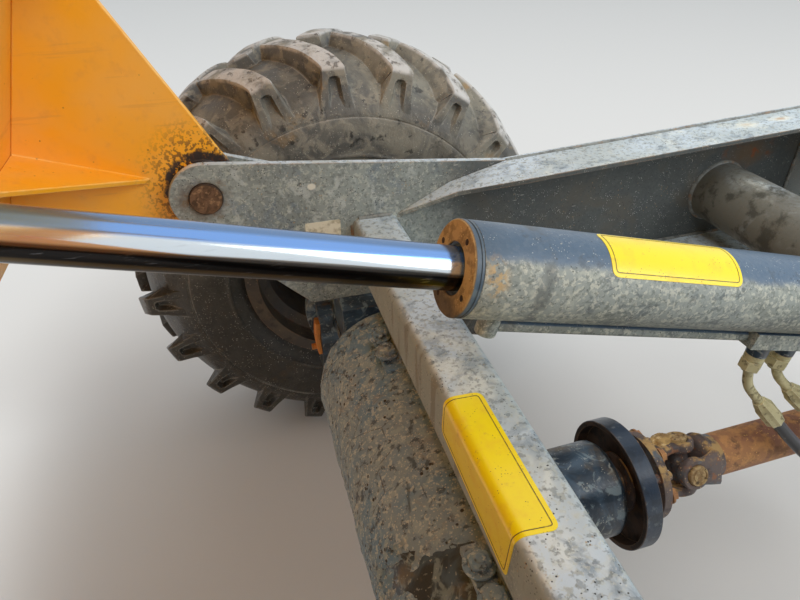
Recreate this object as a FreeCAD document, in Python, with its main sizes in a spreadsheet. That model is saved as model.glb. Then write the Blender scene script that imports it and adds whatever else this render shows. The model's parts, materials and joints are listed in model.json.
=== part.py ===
import FreeCAD, Part
import math
import os

import Sketcher

# Front unit of an articulated site dumper: chassis, axle, wheels, tipping ram and raised skip.
# Millimetres, X forward, Y left, Z up. The origin is the centre of the upper articulation bore.
# Chassis pieces are drawn from the middle of the axle, and placed from there.

os.makedirs("parts", exist_ok=True)
doc = FreeCAD.newDocument("dumper_front")
sheet = doc.addObject("Spreadsheet::Sheet", "sizes")


class Size:
    """A number together with the sheet expression that gives it."""

    def __init__(self, value, text):
        self.value = value
        self.text = text

    def __add__(self, other):
        return Size(self.value + sized(other).value, "(%s + %s)" % (self.text, sized(other).text))

    def __radd__(self, other):
        return sized(other) + self

    def __sub__(self, other):
        return Size(self.value - sized(other).value, "(%s - %s)" % (self.text, sized(other).text))

    def __rsub__(self, other):
        return sized(other) - self

    def __mul__(self, other):
        return Size(self.value * sized(other).value, "(%s * %s)" % (self.text, sized(other).text))

    def __rmul__(self, other):
        return sized(other) * self

    def __truediv__(self, other):
        return Size(self.value / sized(other).value, "(%s / %s)" % (self.text, sized(other).text))

    def __neg__(self):
        return Size(-self.value, "(0 - %s)" % self.text)


def sized(number):
    """A plain number as a Size."""
    return number if isinstance(number, Size) else Size(float(number), "%.10g" % number)


def sine(angle):
    return Size(math.sin(math.radians(angle.value)), "sin(%s)" % angle.text)


def cosine(angle):
    return Size(math.cos(math.radians(angle.value)), "cos(%s)" % angle.text)


def root(square):
    return Size(math.sqrt(square.value), "sqrt(%s)" % square.text)


# Driving dimensions: alias and value in millimetres or degrees
DIMENSIONS = [
    ("axle_ahead", 1150.0), ("axle_below", 300.0),
    ("tyre_radius", 567.0), ("tyre_half_width", 202.5), ("tread_half_width", 176.0), ("tread_drop", 36.0),
    ("carcass_radius", 533.0), ("carcass_drop", 68.0), ("bead_radius", 258.0), ("track_half", 963.0),
    ("lug_count", 20.0), ("lug_phase", 88.3), ("lug_lead", 114.0), ("lug_end", 4.0),
    ("lug_end_half", 26.0), ("lug_shoulder_half", 27.0), ("buttress_half", 45.0), ("buttress_radius", 418.0),
    ("rim_flange_radius", 281.8), ("rim_half_width", 172.0), ("rim_wall", 9.0),
    ("rim_well_radius", 232.0), ("disc_offset", 60.0), ("disc_wall", 14.0),
    ("hub_radius", 118.0), ("spindle_radius", 45.0), ("running_gap", 0.05),
    ("stud_circle_radius", 137.5), ("stud_radius", 11.0), ("stud_count", 8.0),
    ("drum_radius", 163.0), ("drum_half_length", 385.0), ("drum_round", 55.0),
    ("arm_radius", 92.0), ("arm_half_length", 640.0), ("brake_depth", 70.0), ("backplate_radius", 150.0),
    ("side_half", 490.0), ("plate", 15.0), ("fork_gap", 54.0),
    ("pivot_ahead", 318.8), ("pivot_above", 380.5), ("pivot_pin_radius", 30.0),
    ("lug_radius", 65.0), ("cheek_fall", 17.7),
    ("cheek_rear_x", -279.0), ("cheek_rear_z", 386.0), ("foot_x", 144.3), ("foot_z", 114.4),
    ("rail_rise", 44.0), ("rail_foot_z", 124.0),
    ("flange_width", 105.0), ("flange_wall", 10.0),
    ("bend_x", -157.0), ("bend_y", 438.0), ("bend_z", 354.0),
    ("member_rear_x", -44.7), ("member_front_x", 47.3), ("member_top_z", 298.3),
    ("member_depth", 88.0), ("member_wall", 10.0),
    ("saddle_at", 236.0), ("saddle_half_width", 46.0), ("saddle_half_length", 44.0),
    ("ram_base_x", -710.0), ("ram_line_z", 454.8), ("ram_slope", 14.6117), ("eye_x", 560.0),
    ("barrel_radius", 61.8), ("bore_radius", 50.0), ("rod_radius", 28.3),
    ("eye_radius", 50.0), ("eye_width", 70.0), ("ram_pin_radius", 25.0), ("ram_lug_gap", 2.0),
    ("ram_lug_wall", 18.0), ("pin_proud", 6.0), ("gland_ahead", 749.0),
    ("ports_start", 97.0), ("ports_length", 122.0), ("ports_depth", 26.0),
    ("tube_x", -842.0), ("tube_z", 245.0), ("tube_radius", 70.0), ("tube_wall", 10.0),
    ("tip_angle", 71.5), ("floor_above", 315.6), ("skip_wall", 8.0), ("skip_half_width", 1010.0),
    ("skip_rear_x", -1180.0), ("knee_x", 200.0), ("lip_x", 770.0), ("lip_z", 575.0),
    ("skip_top_rear_x", -1330.0), ("skip_top_rear_z", 1020.0), ("skip_top_front_x", 700.0),
    ("skip_top_front_z", 830.0), ("bracket_radius", 70.0), ("bracket_plate", 15.0),
    ("bracket_edge_x", -310.0), ("bearer_depth", 80.0), ("bearer_length", 850.0), ("bearer_width", 60.0),
    ("bearer_inner", 410.0), ("foot_behind", -1135.0), ("foot_length", 70.0), ("foot_width", 50.0),
    ("foot_low", 62.0), ("pad_height", 18.0), ("rib_width", 60.0), ("rib_depth", 38.0),
    ("bar_depth", 60.0), ("bar_width", 45.0),
    ("pinion_tilt", 1.46), ("pinion_below", 64.6), ("shaft_radius", 40.0),
    ("nose_end", 294.0), ("nose_radius", 86.0),
    ("park_drum_radius", 117.0), ("park_drum_front", 300.0), ("park_drum_back", 331.0),
    ("shaft_beyond", 58.0), ("journal_radius", 30.0), ("head_hole_radius", 98.0),
    ("flange_face", 378.0), ("flange_radius", 81.0), ("flange_disc_wall", 16.0), ("spigot_radius", 54.0),
    ("pivot_bore_radius", 30.0), ("pivot_lug_radius", 75.0), ("pivot_lug_half", 20.0),
    ("lower_lug_below", 560.0), ("head_ahead", 100.0), ("head_wall", 20.0),
    ("hose_radius", 11.0), ("hose_end_gap", 36.0),
]

size = {}
for row, (alias, value) in enumerate(DIMENSIONS, start=1):
    sheet.set("A%d" % row, alias)
    sheet.set("B%d" % row, "%.10g" % value)
    sheet.setAlias("B%d" % row, alias)
    size[alias] = Size(value, "sizes." + alias)
doc.recompute()

SIDES = (("left", 1), ("right", -1))
nodes = []


def bind(item, prop, value):
    """Give one property of an object the value of a Size, and keep it bound to the sheet."""
    item.setExpression(prop, sized(value).text)


def place(item, x=0, y=0, z=0, turn=None, axis=(0, 1, 0)):
    """Place an object, turned by an angle about an axis through its own origin."""
    angle = sized(0 if turn is None else turn)
    spot = FreeCAD.Vector(sized(x).value, sized(y).value, sized(z).value)
    item.Placement = FreeCAD.Placement(spot, FreeCAD.Rotation(FreeCAD.Vector(*axis), angle.value))
    for name, value in (("x", x), ("y", y), ("z", z)):
        bind(item, "Placement.Base." + name, value)
    if turn is not None:
        bind(item, "Placement.Rotation.Angle", angle)
    return item


def node(item, name):
    """Name a finished sub-part, whose file takes the same name."""
    item.Label = name
    nodes.append(item)
    return item


def new_body(name):
    return doc.addObject("PartDesign::Body", name)


def new_sketch(body, plane, offset=0):
    """A sketch on one of the body's origin planes, moved along the plane's normal."""
    sketch = body.newObject("Sketcher::SketchObject", body.Name + "_sketch")
    for feature in body.Origin.OriginFeatures:
        if feature.Role == plane:
            sketch.AttachmentSupport = [(feature, "")]
    sketch.MapMode = "FlatFace"
    bind(sketch, "AttachmentOffset.Base.z", offset)
    return sketch


def pin_point(sketch, geometry, point, x, y):
    """Hold one point of a sketch at a bound place."""
    for kind, value in (("DistanceX", x), ("DistanceY", y)):
        value = sized(value)
        rule = Sketcher.Constraint(kind, -1, 1, geometry, point, value.value)
        number = sketch.addConstraint(rule)
        bind(sketch, "Constraints[%d]" % number, value)


def polygon(sketch, points):
    """A closed run of straight edges through the given points."""
    corners = [FreeCAD.Vector(sized(x).value, sized(y).value, 0) for x, y in points]
    first = sketch.GeometryCount
    count = len(corners)
    for i in range(count):
        sketch.addGeometry(Part.LineSegment(corners[i], corners[(i + 1) % count]), False)
    for i in range(count):
        sketch.addConstraint(Sketcher.Constraint("Coincident", first + i, 2, first + (i + 1) % count, 1))
    for i, (x, y) in enumerate(points):
        pin_point(sketch, first + i, 1, x, y)


def circle(sketch, x, y, radius):
    centre = FreeCAD.Vector(sized(x).value, sized(y).value, 0)
    radius = sized(radius)
    number = sketch.addGeometry(Part.Circle(centre, FreeCAD.Vector(0, 0, 1), radius.value), False)
    rule = sketch.addConstraint(Sketcher.Constraint("Radius", number, radius.value))
    bind(sketch, "Constraints[%d]" % rule, radius)
    pin_point(sketch, number, 3, x, y)


def pad(body, sketch, length):
    feature = body.newObject("PartDesign::Pad", body.Name + "_pad")
    feature.Profile = sketch
    bind(feature, "Length", length)
    doc.recompute()
    return feature


def revolve(body, sketch, axis):
    feature = body.newObject("PartDesign::Revolution", body.Name + "_turn")
    feature.Profile = sketch
    feature.ReferenceAxis = (sketch, [axis])
    feature.Angle = 360
    doc.recompute()
    return feature


def upright_plate(name, points, low_y, wall, circles=()):
    """A plate parallel to the XZ plane from low_y, cut to a polygon of X and Z, with round ends."""
    body = new_body(name)
    sketch = new_sketch(body, "XZ_Plane", -(sized(low_y) + wall))
    polygon(sketch, points)
    pad(body, sketch, wall)
    for x, z, radius in circles:
        disc = new_sketch(body, "XZ_Plane", -(sized(low_y) + wall))
        circle(disc, x, z, radius)
        pad(body, disc, wall)
    return body


def flat_plate(name, points, low_z, wall, circles=()):
    """A plate parallel to the XY plane from low_z, cut to a polygon of X and Y, with round ends."""
    body = new_body(name)
    sketch = new_sketch(body, "XY_Plane", low_z)
    polygon(sketch, points)
    pad(body, sketch, wall)
    for x, y, radius in circles:
        disc = new_sketch(body, "XY_Plane", low_z)
        circle(disc, x, y, radius)
        pad(body, disc, wall)
    return body


def turned(name, profile, axis="V_Axis"):
    """A turned piece: about Y from points (radius, Y), or about X from points (X, radius)."""
    body = new_body(name)
    sketch = new_sketch(body, "XY_Plane")
    polygon(sketch, profile)
    revolve(body, sketch, axis)
    return body


def block(name, x, y, z, length, width, height):
    """A box from its lowest corner."""
    item = doc.addObject("Part::Box", name)
    for prop, value in (("Length", length), ("Width", width), ("Height", height)):
        bind(item, prop, value)
    return place(item, x, y, z)


def rod(name, x, y, z, radius, length, axis="Y"):
    """A cylinder from the middle of its first face, along X, Y or Z."""
    item = doc.addObject("Part::Cylinder", name)
    bind(item, "Radius", radius)
    bind(item, "Height", length)
    turns = {"X": ((0, 1, 0), 90), "Y": ((1, 0, 0), -90), "Z": ((0, 0, 1), 0)}
    about, angle = turns[axis]
    return place(item, x, y, z, turn=angle, axis=about)


def cut(name, base, *tools):
    """The base with each tool taken out of it in turn."""
    for i, tool in enumerate(tools):
        item = doc.addObject("Part::Cut", "%s_cut%d" % (name, i))
        item.Base = base
        item.Tool = tool
        base = item
    return base


def fuse(name, *pieces):
    item = doc.addObject("Part::MultiFuse", name + "_joined")
    item.Shapes = list(pieces)
    return item


def from_axle(item, name):
    """A finished piece drawn from the middle of the axle, in its place."""
    return node(place(item, size["axle_ahead"], 0, -size["axle_below"]), name)


def span(sign, inner, width):
    """The lowest Y of something that reaches from inner outwards by width, on either side."""
    return sized(inner) if sign > 0 else -(sized(inner) + width)


# Names for the sizes used most
PLATE = size["plate"]
PIVOT_X, PIVOT_Z = size["pivot_ahead"], size["pivot_above"]
SIDE = size["side_half"]
OUTER = SIDE + PLATE + size["fork_gap"]
GAP = size["running_gap"]
REAR = size["head_ahead"] - size["axle_ahead"]
SHAFT_END = size["shaft_beyond"] - REAR

# The ram's line: its slope, base pin and rod eye, from the middle of the axle
RISE = sine(size["ram_slope"]) / cosine(size["ram_slope"])
BASE_X = size["ram_base_x"]
BASE_Z = size["ram_line_z"] + RISE * BASE_X
EYE_X = size["eye_x"]
EYE_Z = size["ram_line_z"] + RISE * EYE_X
RAM_LENGTH = (EYE_X - BASE_X) / cosine(size["ram_slope"])


def side_plate(side, sign):
    """The chassis side: fork lug at the front, rail to the rear, in one plate."""
    lug = size["lug_radius"]
    slope = (size["cheek_rear_z"] - PIVOT_Z - lug) / (size["cheek_rear_x"] - PIVOT_X)
    rail_top = size["cheek_rear_z"] + size["rail_rise"]
    points = [(PIVOT_X - slope * lug, PIVOT_Z + lug), (size["cheek_rear_x"], size["cheek_rear_z"]),
              (REAR, rail_top), (REAR, size["rail_foot_z"]),
              (-size["arm_radius"] * 2, size["foot_z"]), (size["foot_x"], size["foot_z"]),
              (PIVOT_X + lug * 0.705, PIVOT_Z - lug * 0.709)]
    body = upright_plate("side_" + side, points, span(sign, SIDE, PLATE), PLATE,
                         [(PIVOT_X, PIVOT_Z, lug)])
    bore = rod("side_bore_" + side, PIVOT_X, span(sign, SIDE - 5, PLATE + 10), PIVOT_Z,
               size["pivot_pin_radius"], PLATE + 10)
    return from_axle(cut("side_" + side, body, bore), "side_plate_" + side)


def outer_cheek(side, sign):
    """The fork's outer plate, joggled in to meet the side plate behind the skip's bracket."""
    lug, fall = size["lug_radius"], size["cheek_fall"]
    rear_top = PIVOT_Z + lug / cosine(fall) - (PIVOT_X - 90) * sine(fall) / cosine(fall)
    outline = upright_plate("cheek_outline_" + side,
                            [(PIVOT_X - lug * sine(fall), PIVOT_Z + lug * cosine(fall)), (90, rear_top), (90, 190),
                             (190, 190), (PIVOT_X + lug * 0.705, PIVOT_Z - lug * 0.709)],
                            span(sign, SIDE + PLATE, size["fork_gap"] + PLATE),
                            size["fork_gap"] + PLATE, [(PIVOT_X, PIVOT_Z, lug)])
    inner, outer = SIDE + PLATE, OUTER + PLATE
    strip = [(400, OUTER), (185, OUTER), (120, inner), (90, inner), (90, inner + PLATE),
             (114, inner + PLATE), (178, outer), (400, outer)]
    plan = flat_plate("cheek_plan_" + side, [(x, y * sign) for x, y in strip], 100, 400)
    joint = doc.addObject("Part::MultiCommon", "cheek_both_" + side)
    joint.Shapes = [outline, plan]
    bore = rod("cheek_bore_" + side, PIVOT_X, span(sign, OUTER - 5, PLATE + 10), PIVOT_Z,
               size["pivot_pin_radius"], PLATE + 10)
    return from_axle(cut("cheek_" + side, joint, bore), "outer_cheek_" + side)


def rail_flanges(side, sign):
    """The rail's flanges, turned inwards, and the bent plate from them down to the crossmember."""
    width, wall = size["flange_width"], size["flange_wall"]
    front, rear = size["cheek_rear_x"], REAR
    top = upright_plate("flange_top_" + side,
                        [(front, size["cheek_rear_z"]), (rear, size["cheek_rear_z"] + size["rail_rise"]),
                         (rear, size["cheek_rear_z"] + size["rail_rise"] - wall),
                         (front, size["cheek_rear_z"] - wall)],
                        span(sign, SIDE - width, width), width)
    base = upright_plate("flange_base_" + side,
                         [(-size["arm_radius"] * 2, size["foot_z"]), (rear, size["rail_foot_z"]),
                          (rear, size["rail_foot_z"] + wall),
                          (-size["arm_radius"] * 2, size["foot_z"] + wall)],
                         span(sign, SIDE - width, width), width)
    bend_x, bend_z = size["bend_x"].value, size["bend_z"].value
    y_side, y_edge = SIDE.value * sign, (SIDE - width).value * sign
    low = FreeCAD.Vector(size["member_rear_x"].value, y_side, size["member_top_z"].value)
    bend_out = FreeCAD.Vector(bend_x, y_side, bend_z)
    bend_in = FreeCAD.Vector(bend_x, size["bend_y"].value * sign, bend_z)
    high_out = FreeCAD.Vector(front.value, y_side, size["cheek_rear_z"].value)
    high_in = FreeCAD.Vector(front.value, y_edge, size["cheek_rear_z"].value)
    pieces = [top, base]
    for number, corners in enumerate(([low, bend_out, bend_in], [bend_out, high_out, high_in, bend_in])):
        face = Part.Face(Part.makePolygon(corners + corners[:1]))
        taper = doc.addObject("Part::Feature", "taper_%s%d" % (side, number))
        taper.Shape = face.extrude(FreeCAD.Vector(0, 0, -wall.value))
        pieces.append(taper)
    return from_axle(fuse("flanges_" + side, *pieces), "rail_flanges_" + side)


def crossmember():
    """The bent channel over the axle, open below."""
    rear, front, top = size["member_rear_x"], size["member_front_x"], size["member_top_z"]
    wall = size["member_wall"]
    low = top - size["member_depth"]
    points = [(rear, low), (rear, top), (front, top), (front, low), (front - wall, low),
              (front - wall, top - wall), (rear + wall, top - wall), (rear + wall, low)]
    return from_axle(upright_plate("member", points, -SIDE, SIDE * 2), "crossmember")


def axle_housing():
    """The axle: round-ended middle drum, arms with saddle pads, spindles and pinion nose."""
    drum, half, arm = size["drum_radius"], size["drum_half_length"], size["arm_radius"]
    arm_end, spindle = size["arm_half_length"], size["spindle_radius"]
    tip = size["track_half"] - 25
    c = size["drum_round"]
    upper = [(drum, half - c), (drum - c * 0.29, half - c * 0.29), (drum - c, half), (arm, half),
             (arm, arm_end), (spindle, arm_end), (spindle, tip)]
    lower = [(r, -y) for r, y in reversed(upper)]
    beam = turned("beam", [(0, tip)] + [(0, -tip)] + lower + upper)
    pads = []
    for side, sign in SIDES:
        width = arm_end - size["brake_depth"] - 20 - (SIDE - 50)
        pads.append(block("arm_pad_" + side, -90, span(sign, SIDE - 50, width), 20, 180, width,
                          size["foot_z"] - 20))
    bore = size["journal_radius"] + GAP
    end, radius = size["nose_end"], size["nose_radius"]
    nose = turned("nose", [(0, 0), (end - 100, 0), (end - 100, bore), (end, bore), (end, radius - 16),
                           (end - 6, radius - 6), (end - 14, radius), (178, radius), (150, 118), (0, 130)],
                  "H_Axis")
    place(nose, 0, 0, -size["pinion_below"], turn=size["pinion_tilt"] + 180)
    return from_axle(fuse("axle", beam, nose, *pads), "axle_housing")


def brake_housing(side, sign):
    """The brake's backing plate on the end of the arm, with its square actuator block."""
    arm_end, depth = size["arm_half_length"], size["brake_depth"]
    start, end = arm_end - 26, arm_end - 6
    ring = turned("backplate_" + side, [(size["arm_radius"], start * sign), (size["arm_radius"], end * sign),
                                        (size["backplate_radius"], end * sign),
                                        (size["backplate_radius"], start * sign)])
    actuator = block("actuator_" + side, 37, span(sign, arm_end - depth, depth - 8), -160, 88, depth - 8, 180)
    arm = rod("brake_arm_" + side, 0, -arm_end, 0, size["arm_radius"], arm_end * 2)
    return from_axle(cut("brake_" + side, fuse("brake_parts_" + side, ring, actuator), arm),
                     "brake_housing_" + side)


def axle_saddles():
    """Blocks that carry the crossmember on the axle's drum, each with four bolts."""
    pieces = []
    half_w, half_l = size["saddle_half_width"], size["saddle_half_length"]
    for side, sign in SIDES:
        low_y = size["saddle_at"] * sign - half_w
        inside = size["member_rear_x"] + size["member_wall"]
        post = block("saddle_" + side, inside, low_y + 10, 60,
                     size["member_front_x"] - size["member_wall"] - inside, half_w * 2 - 20,
                     size["member_top_z"] - size["member_wall"] - 60)
        foot = block("saddle_foot_" + side, -half_l - 22, low_y - 14, 60, half_l * 2 + 44,
                     half_w * 2 + 28, 102)
        pieces += [post, foot]
    drum = rod("saddle_drum", 0, -400, 0, size["drum_radius"], 800)
    saddle = cut("saddles", fuse("saddle_blocks", *pieces), drum)
    bolts = []
    for side, sign in SIDES:
        for along in (-1, 1):
            for across in (-1, 1):
                bolts.append(rod("saddle_bolt_%s%d%d" % (side, along, across), 55 * along,
                                 size["saddle_at"] * sign + 24 * across, 162, 13, 14, "Z"))
    return from_axle(fuse("saddle_all", saddle, *bolts), "axle_saddles")


def pivot_pin(side, sign):
    """The skip's pivot pin, its ends just proud of the fork."""
    proud = size["pin_proud"]
    length = PLATE * 2 + size["fork_gap"] + proud * 2
    pin = rod("pivot_pin_body_" + side, PIVOT_X + size["axle_ahead"], span(sign, SIDE - proud, length),
              PIVOT_Z - size["axle_below"], size["pivot_pin_radius"], length)
    return node(pin, "pivot_pin_" + side)


def ram_mount():
    """The cross tube between the rails, with two lugs forward to the ram's base pin."""
    x, z, radius = size["tube_x"], size["tube_z"], size["tube_radius"]
    tube = rod("cross_tube", x, -SIDE, z, radius, SIDE * 2)
    hollow = rod("cross_tube_bore", x, -SIDE - 5, z, radius - size["tube_wall"], SIDE * 2 + 10)
    lugs = []
    inner, lug_wall = size["eye_width"] / 2 + size["ram_lug_gap"], size["ram_lug_wall"]
    for side, sign in SIDES:
        lugs.append(upright_plate("ram_lug_" + side,
                                  [(x, z + 55), (BASE_X, BASE_Z + 45), (BASE_X, BASE_Z - 45), (x, z - 55)],
                                  span(sign, inner, lug_wall), lug_wall, [(BASE_X, BASE_Z, 45)]))
    bore = rod("ram_lug_bore", BASE_X, -100, BASE_Z, size["ram_pin_radius"], 200)
    return from_axle(cut("ram_mount", fuse("ram_mount_parts", tube, *lugs), hollow, bore), "ram_mount")


def ram_base_pin():
    width = size["eye_width"] + (size["ram_lug_gap"] + size["ram_lug_wall"] + 8) * 2
    pin = rod("base_pin", BASE_X + size["axle_ahead"], -width / 2, BASE_Z - size["axle_below"],
              size["ram_pin_radius"], width)
    return node(pin, "ram_base_pin")


def head_plate():
    """The transverse plate that closes the rails, narrow below, open for the propshaft."""
    x, wall = REAR, size["head_wall"]
    body = new_body("head")
    sketch = new_sketch(body, "YZ_Plane", x - wall)
    top = size["cheek_rear_z"] + size["rail_rise"]
    low = size["axle_below"] - size["lower_lug_below"] - size["pivot_lug_half"] - 10
    polygon(sketch, [(-SIDE - PLATE, top), (-SIDE - PLATE, size["rail_foot_z"]), (-175, 60),
                     (-175, low), (175, low), (175, 60), (SIDE + PLATE, size["rail_foot_z"]),
                     (SIDE + PLATE, top)])
    pad(body, sketch, wall)
    hole = rod("head_hole", x - wall - 5, 0, shaft_height(x), size["head_hole_radius"], wall + 10, "X")
    return from_axle(cut("head", body, hole), "head_plate")


def articulation_lug(name, above_axle):
    """A thick lug behind the head plate with an upright bore for the centre pin."""
    half, radius = size["pivot_lug_half"], size["pivot_lug_radius"]
    front = REAR - size["head_wall"]
    body = flat_plate(name + "_plate", [(front, -150), (front, 150), (-size["axle_ahead"], radius),
                                        (-size["axle_ahead"], -radius)],
                      above_axle - half, half * 2, [(-size["axle_ahead"], 0, radius)])
    bore = rod(name + "_bore", -size["axle_ahead"], 0, above_axle - half - 5,
               size["pivot_bore_radius"], half * 2 + 10, "Z")
    return from_axle(cut(name, body, bore), name)


def shaft_height(x):
    """The height of the shaft's centre line at a place along the chassis."""
    return -size["pinion_below"] - sine(size["pinion_tilt"]) / cosine(size["pinion_tilt"]) * x


def on_shaft(item):
    """Place a piece drawn along its own X, rearwards from under the axle, on the shaft's line."""
    return place(item, size["axle_ahead"], 0, -size["axle_below"] - size["pinion_below"],
                 turn=size["pinion_tilt"] + 180)


def propshaft():
    """The tube between two universal joints, with its yokes and crosses."""
    radius, end = size["shaft_radius"], SHAFT_END
    face, journal = size["flange_face"], size["journal_radius"]
    tube = turned("shaft_tube", [(face, 0), (end, 0), (end, 58), (end - 14, 58), (end - 14, 34),
                                 (end - 26, journal), (end - 120, journal), (end - 140, radius),
                                 (520, radius), (500, 48), (480, 48), (430, 30), (face + 8, 30),
                                 (face + 8, 56), (face, 56)], "H_Axis")
    caps = [rod("shaft_cap_y", 452, -58, 0, 19, 116, "Y"), rod("shaft_cap_z", 452, 0, -58, 19, 116, "Z")]
    ears = [block("ear_y", 425, -52, -22, 75, 104, 44), block("ear_z", face + 4, -22, -52, 99, 44, 104)]
    return node(on_shaft(fuse("shaft", tube, *(caps + ears))), "propshaft")


def pinion_flange():
    """The companion flange, its stub in the nose and its boss through the brake drum."""
    face, front = size["flange_face"], size["flange_face"] - size["flange_disc_wall"]
    inside, stub, spigot = size["nose_end"] - 80, size["journal_radius"], size["spigot_radius"]
    drum = size["park_drum_back"] - 12
    disc = turned("flange_disc", [(inside, 0), (inside, stub), (drum, stub), (drum, spigot), (front, spigot),
                                  (front, size["flange_radius"]), (face, size["flange_radius"]), (face, 0)],
                  "H_Axis")
    bolts = []
    for i in range(6):
        angle = math.radians(60 * i + 15)
        bolts.append(rod("flange_bolt%d" % i, size["park_drum_back"], 68 * math.cos(angle),
                         68 * math.sin(angle), 8, face + 9 - size["park_drum_back"], "X"))
    return node(on_shaft(fuse("flange", disc, *bolts)), "pinion_flange")


def parking_drum():
    """The parking brake's drum, open towards the axle, its web against the flange's boss."""
    radius, front, back = size["park_drum_radius"], size["park_drum_front"], size["park_drum_back"]
    inner = size["spigot_radius"] + 0.3
    profile = [(front, radius - 10), (front, radius), (back, radius), (back, inner), (back - 9, inner),
               (back - 9, radius - 10)]
    return node(on_shaft(turned("drum", profile, "H_Axis")), "parking_drum")


def propshaft_bearing():
    """The flanged bearing on the head plate that carries the shaft's rear end."""
    x, height = REAR, shaft_height(REAR)
    body = turned("bearing_body", [(x, 0), (x, 125), (x + 18, 125), (x + 18, 70), (x + 46, 62), (x + 46, 0)],
                  "H_Axis")
    place(body, 0, 0, height)
    bore = rod("bearing_bore", x, 0, 0, size["journal_radius"] + GAP, 200, "X")
    place(bore, x - 100, 0, shaft_height(x - 100), turn=size["pinion_tilt"] + 90)
    return from_axle(cut("bearing", body, bore), "propshaft_bearing")


def flat_faces(corners):
    """The run of corners as one flat face, or as two triangles where it isn't flat."""
    kept = [point for i, point in enumerate(corners) if (point - corners[i - 1]).Length > 0.001]
    if len(kept) < 3:
        return []
    across = (kept[1] - kept[0]).cross(kept[2] - kept[0])
    if len(kept) == 4 and abs((kept[3] - kept[0]).dot(across.normalize())) > 0.001:
        return flat_faces(kept[:3]) + flat_faces([kept[2], kept[3], kept[0]])
    return [Part.Face(Part.makePolygon(kept + kept[:1]))]


def lug_stations():
    """A lug from its inner end out to the shoulder and down the side wall. Each station has the
    (radius, Y) of its face and of the carcass at its foot, its lead as an angle, and its half width."""
    radius, edge, end = size["tyre_radius"].value, size["tread_half_width"].value, size["lug_end"].value
    crown, half = size["carcass_radius"].value, size["tyre_half_width"].value
    drop, under = size["tread_drop"].value, size["carcass_drop"].value
    inner, outer = size["lug_end_half"].value, size["lug_shoulder_half"].value
    buttress, low = size["buttress_half"].value, size["buttress_radius"].value
    stations = []
    for share in (1, 0.70, 0.36):
        y = edge - share * (edge - end)
        lead = math.degrees(size["lug_lead"].value * share ** 1.15 / radius)
        fall = (y / edge) ** 2.5
        stations.append(((radius - drop * fall, y), (crown - under * fall, y), lead, outer + (inner - outer) * share))
    stations.append(((radius - drop, edge), (crown - under * 0.67, edge - 26), 0, outer))
    stations.append(((low + 54, half - 14), (low + 44, half - 21), 0, (outer + buttress) / 2))
    stations.append(((low, half - 3), (low, half - 3), 0, buttress))
    return stations


def side_stations():
    """The side wall below the lugs as (radius, Y), round the bead and up inside the tyre."""
    half, bead = size["tyre_half_width"].value, (size["rim_half_width"] - size["rim_wall"] - 1).value
    flange, crown = size["rim_flange_radius"].value, size["carcass_radius"].value
    seat = size["bead_radius"].value / math.cos(math.pi / 2 / size["lug_count"].value)
    return [(flange + 65, half - 2), (flange + 14.7, bead + 12), (flange + 3.7, bead), (seat, bead),
            (seat, bead - 22), (crown - 60, half - 92)]


def tyre_half(face, phase):
    """Rings of points over one half of the tyre, from mid tread over the lugs to the inside.
    Each pitch has four: a lug's foot, the two edges of its face, and its other foot."""
    count = int(size["lug_count"].value)
    pitch = 360 / count
    rings = []

    def ring(points):
        turned_points = []
        for i in range(count):
            for r, y, angle in points:
                turn = math.radians(phase + angle + i * pitch)
                turned_points.append(FreeCAD.Vector(r * math.cos(turn), y * face, r * math.sin(turn)))
        rings.append(turned_points)

    for (top, top_y), (foot, foot_y), lead, half_width in lug_stations():
        spread = math.degrees(half_width / top)
        draft = math.degrees(0.17 * (top - foot) / top)
        low, high = (foot, foot_y, -lead - spread - draft), (foot, foot_y, -lead + spread + draft)
        if not rings:
            ring([(foot, 0, -lead - pitch / 4)] * 2 + [(foot, 0, -lead + pitch / 4)] * 2)
            ring([low, low, high, high])
        ring([low, (top, top_y, -lead - spread), (top, top_y, -lead + spread), high])
    for r, y in side_stations():
        ring([(r, y, -pitch / 4)] * 2 + [(r, y, pitch / 4)] * 2)
    return rings


def tyre(side, sign):
    """The tyre with its lugs in flat faces: two sides of lugs, half a pitch apart, that lead forward."""
    pitch = 360 / size["lug_count"].value
    halves = [tyre_half(face, size["lug_phase"].value + (0 if face == -sign else pitch / 2)) for face in (1, -1)]
    bands = [(rings[i], rings[i + 1]) for rings in halves for i in range(len(rings) - 1)]
    # The halves' inmost rings start half a pitch apart, which is two of their points
    closing, shift = halves[1][-1], 2 * sign
    bands.append((halves[0][-1], closing[shift:] + closing[:shift]))
    faces = []
    for ring, after in bands:
        for i in range(len(ring)):
            k = (i + 1) % len(ring)
            faces += flat_faces([ring[i], ring[k], after[k], after[i]])
    item = doc.addObject("Part::Feature", "tyre_body_" + side)
    item.Shape = Part.Solid(Part.Shell(faces))
    return on_wheel(item, "tyre_", side, sign)


def on_wheel(item, name, side, sign):
    """Put a piece drawn about the wheel's centre on its side of the machine."""
    return node(place(item, size["axle_ahead"], size["track_half"] * sign, -size["axle_below"]), name + side)


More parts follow.
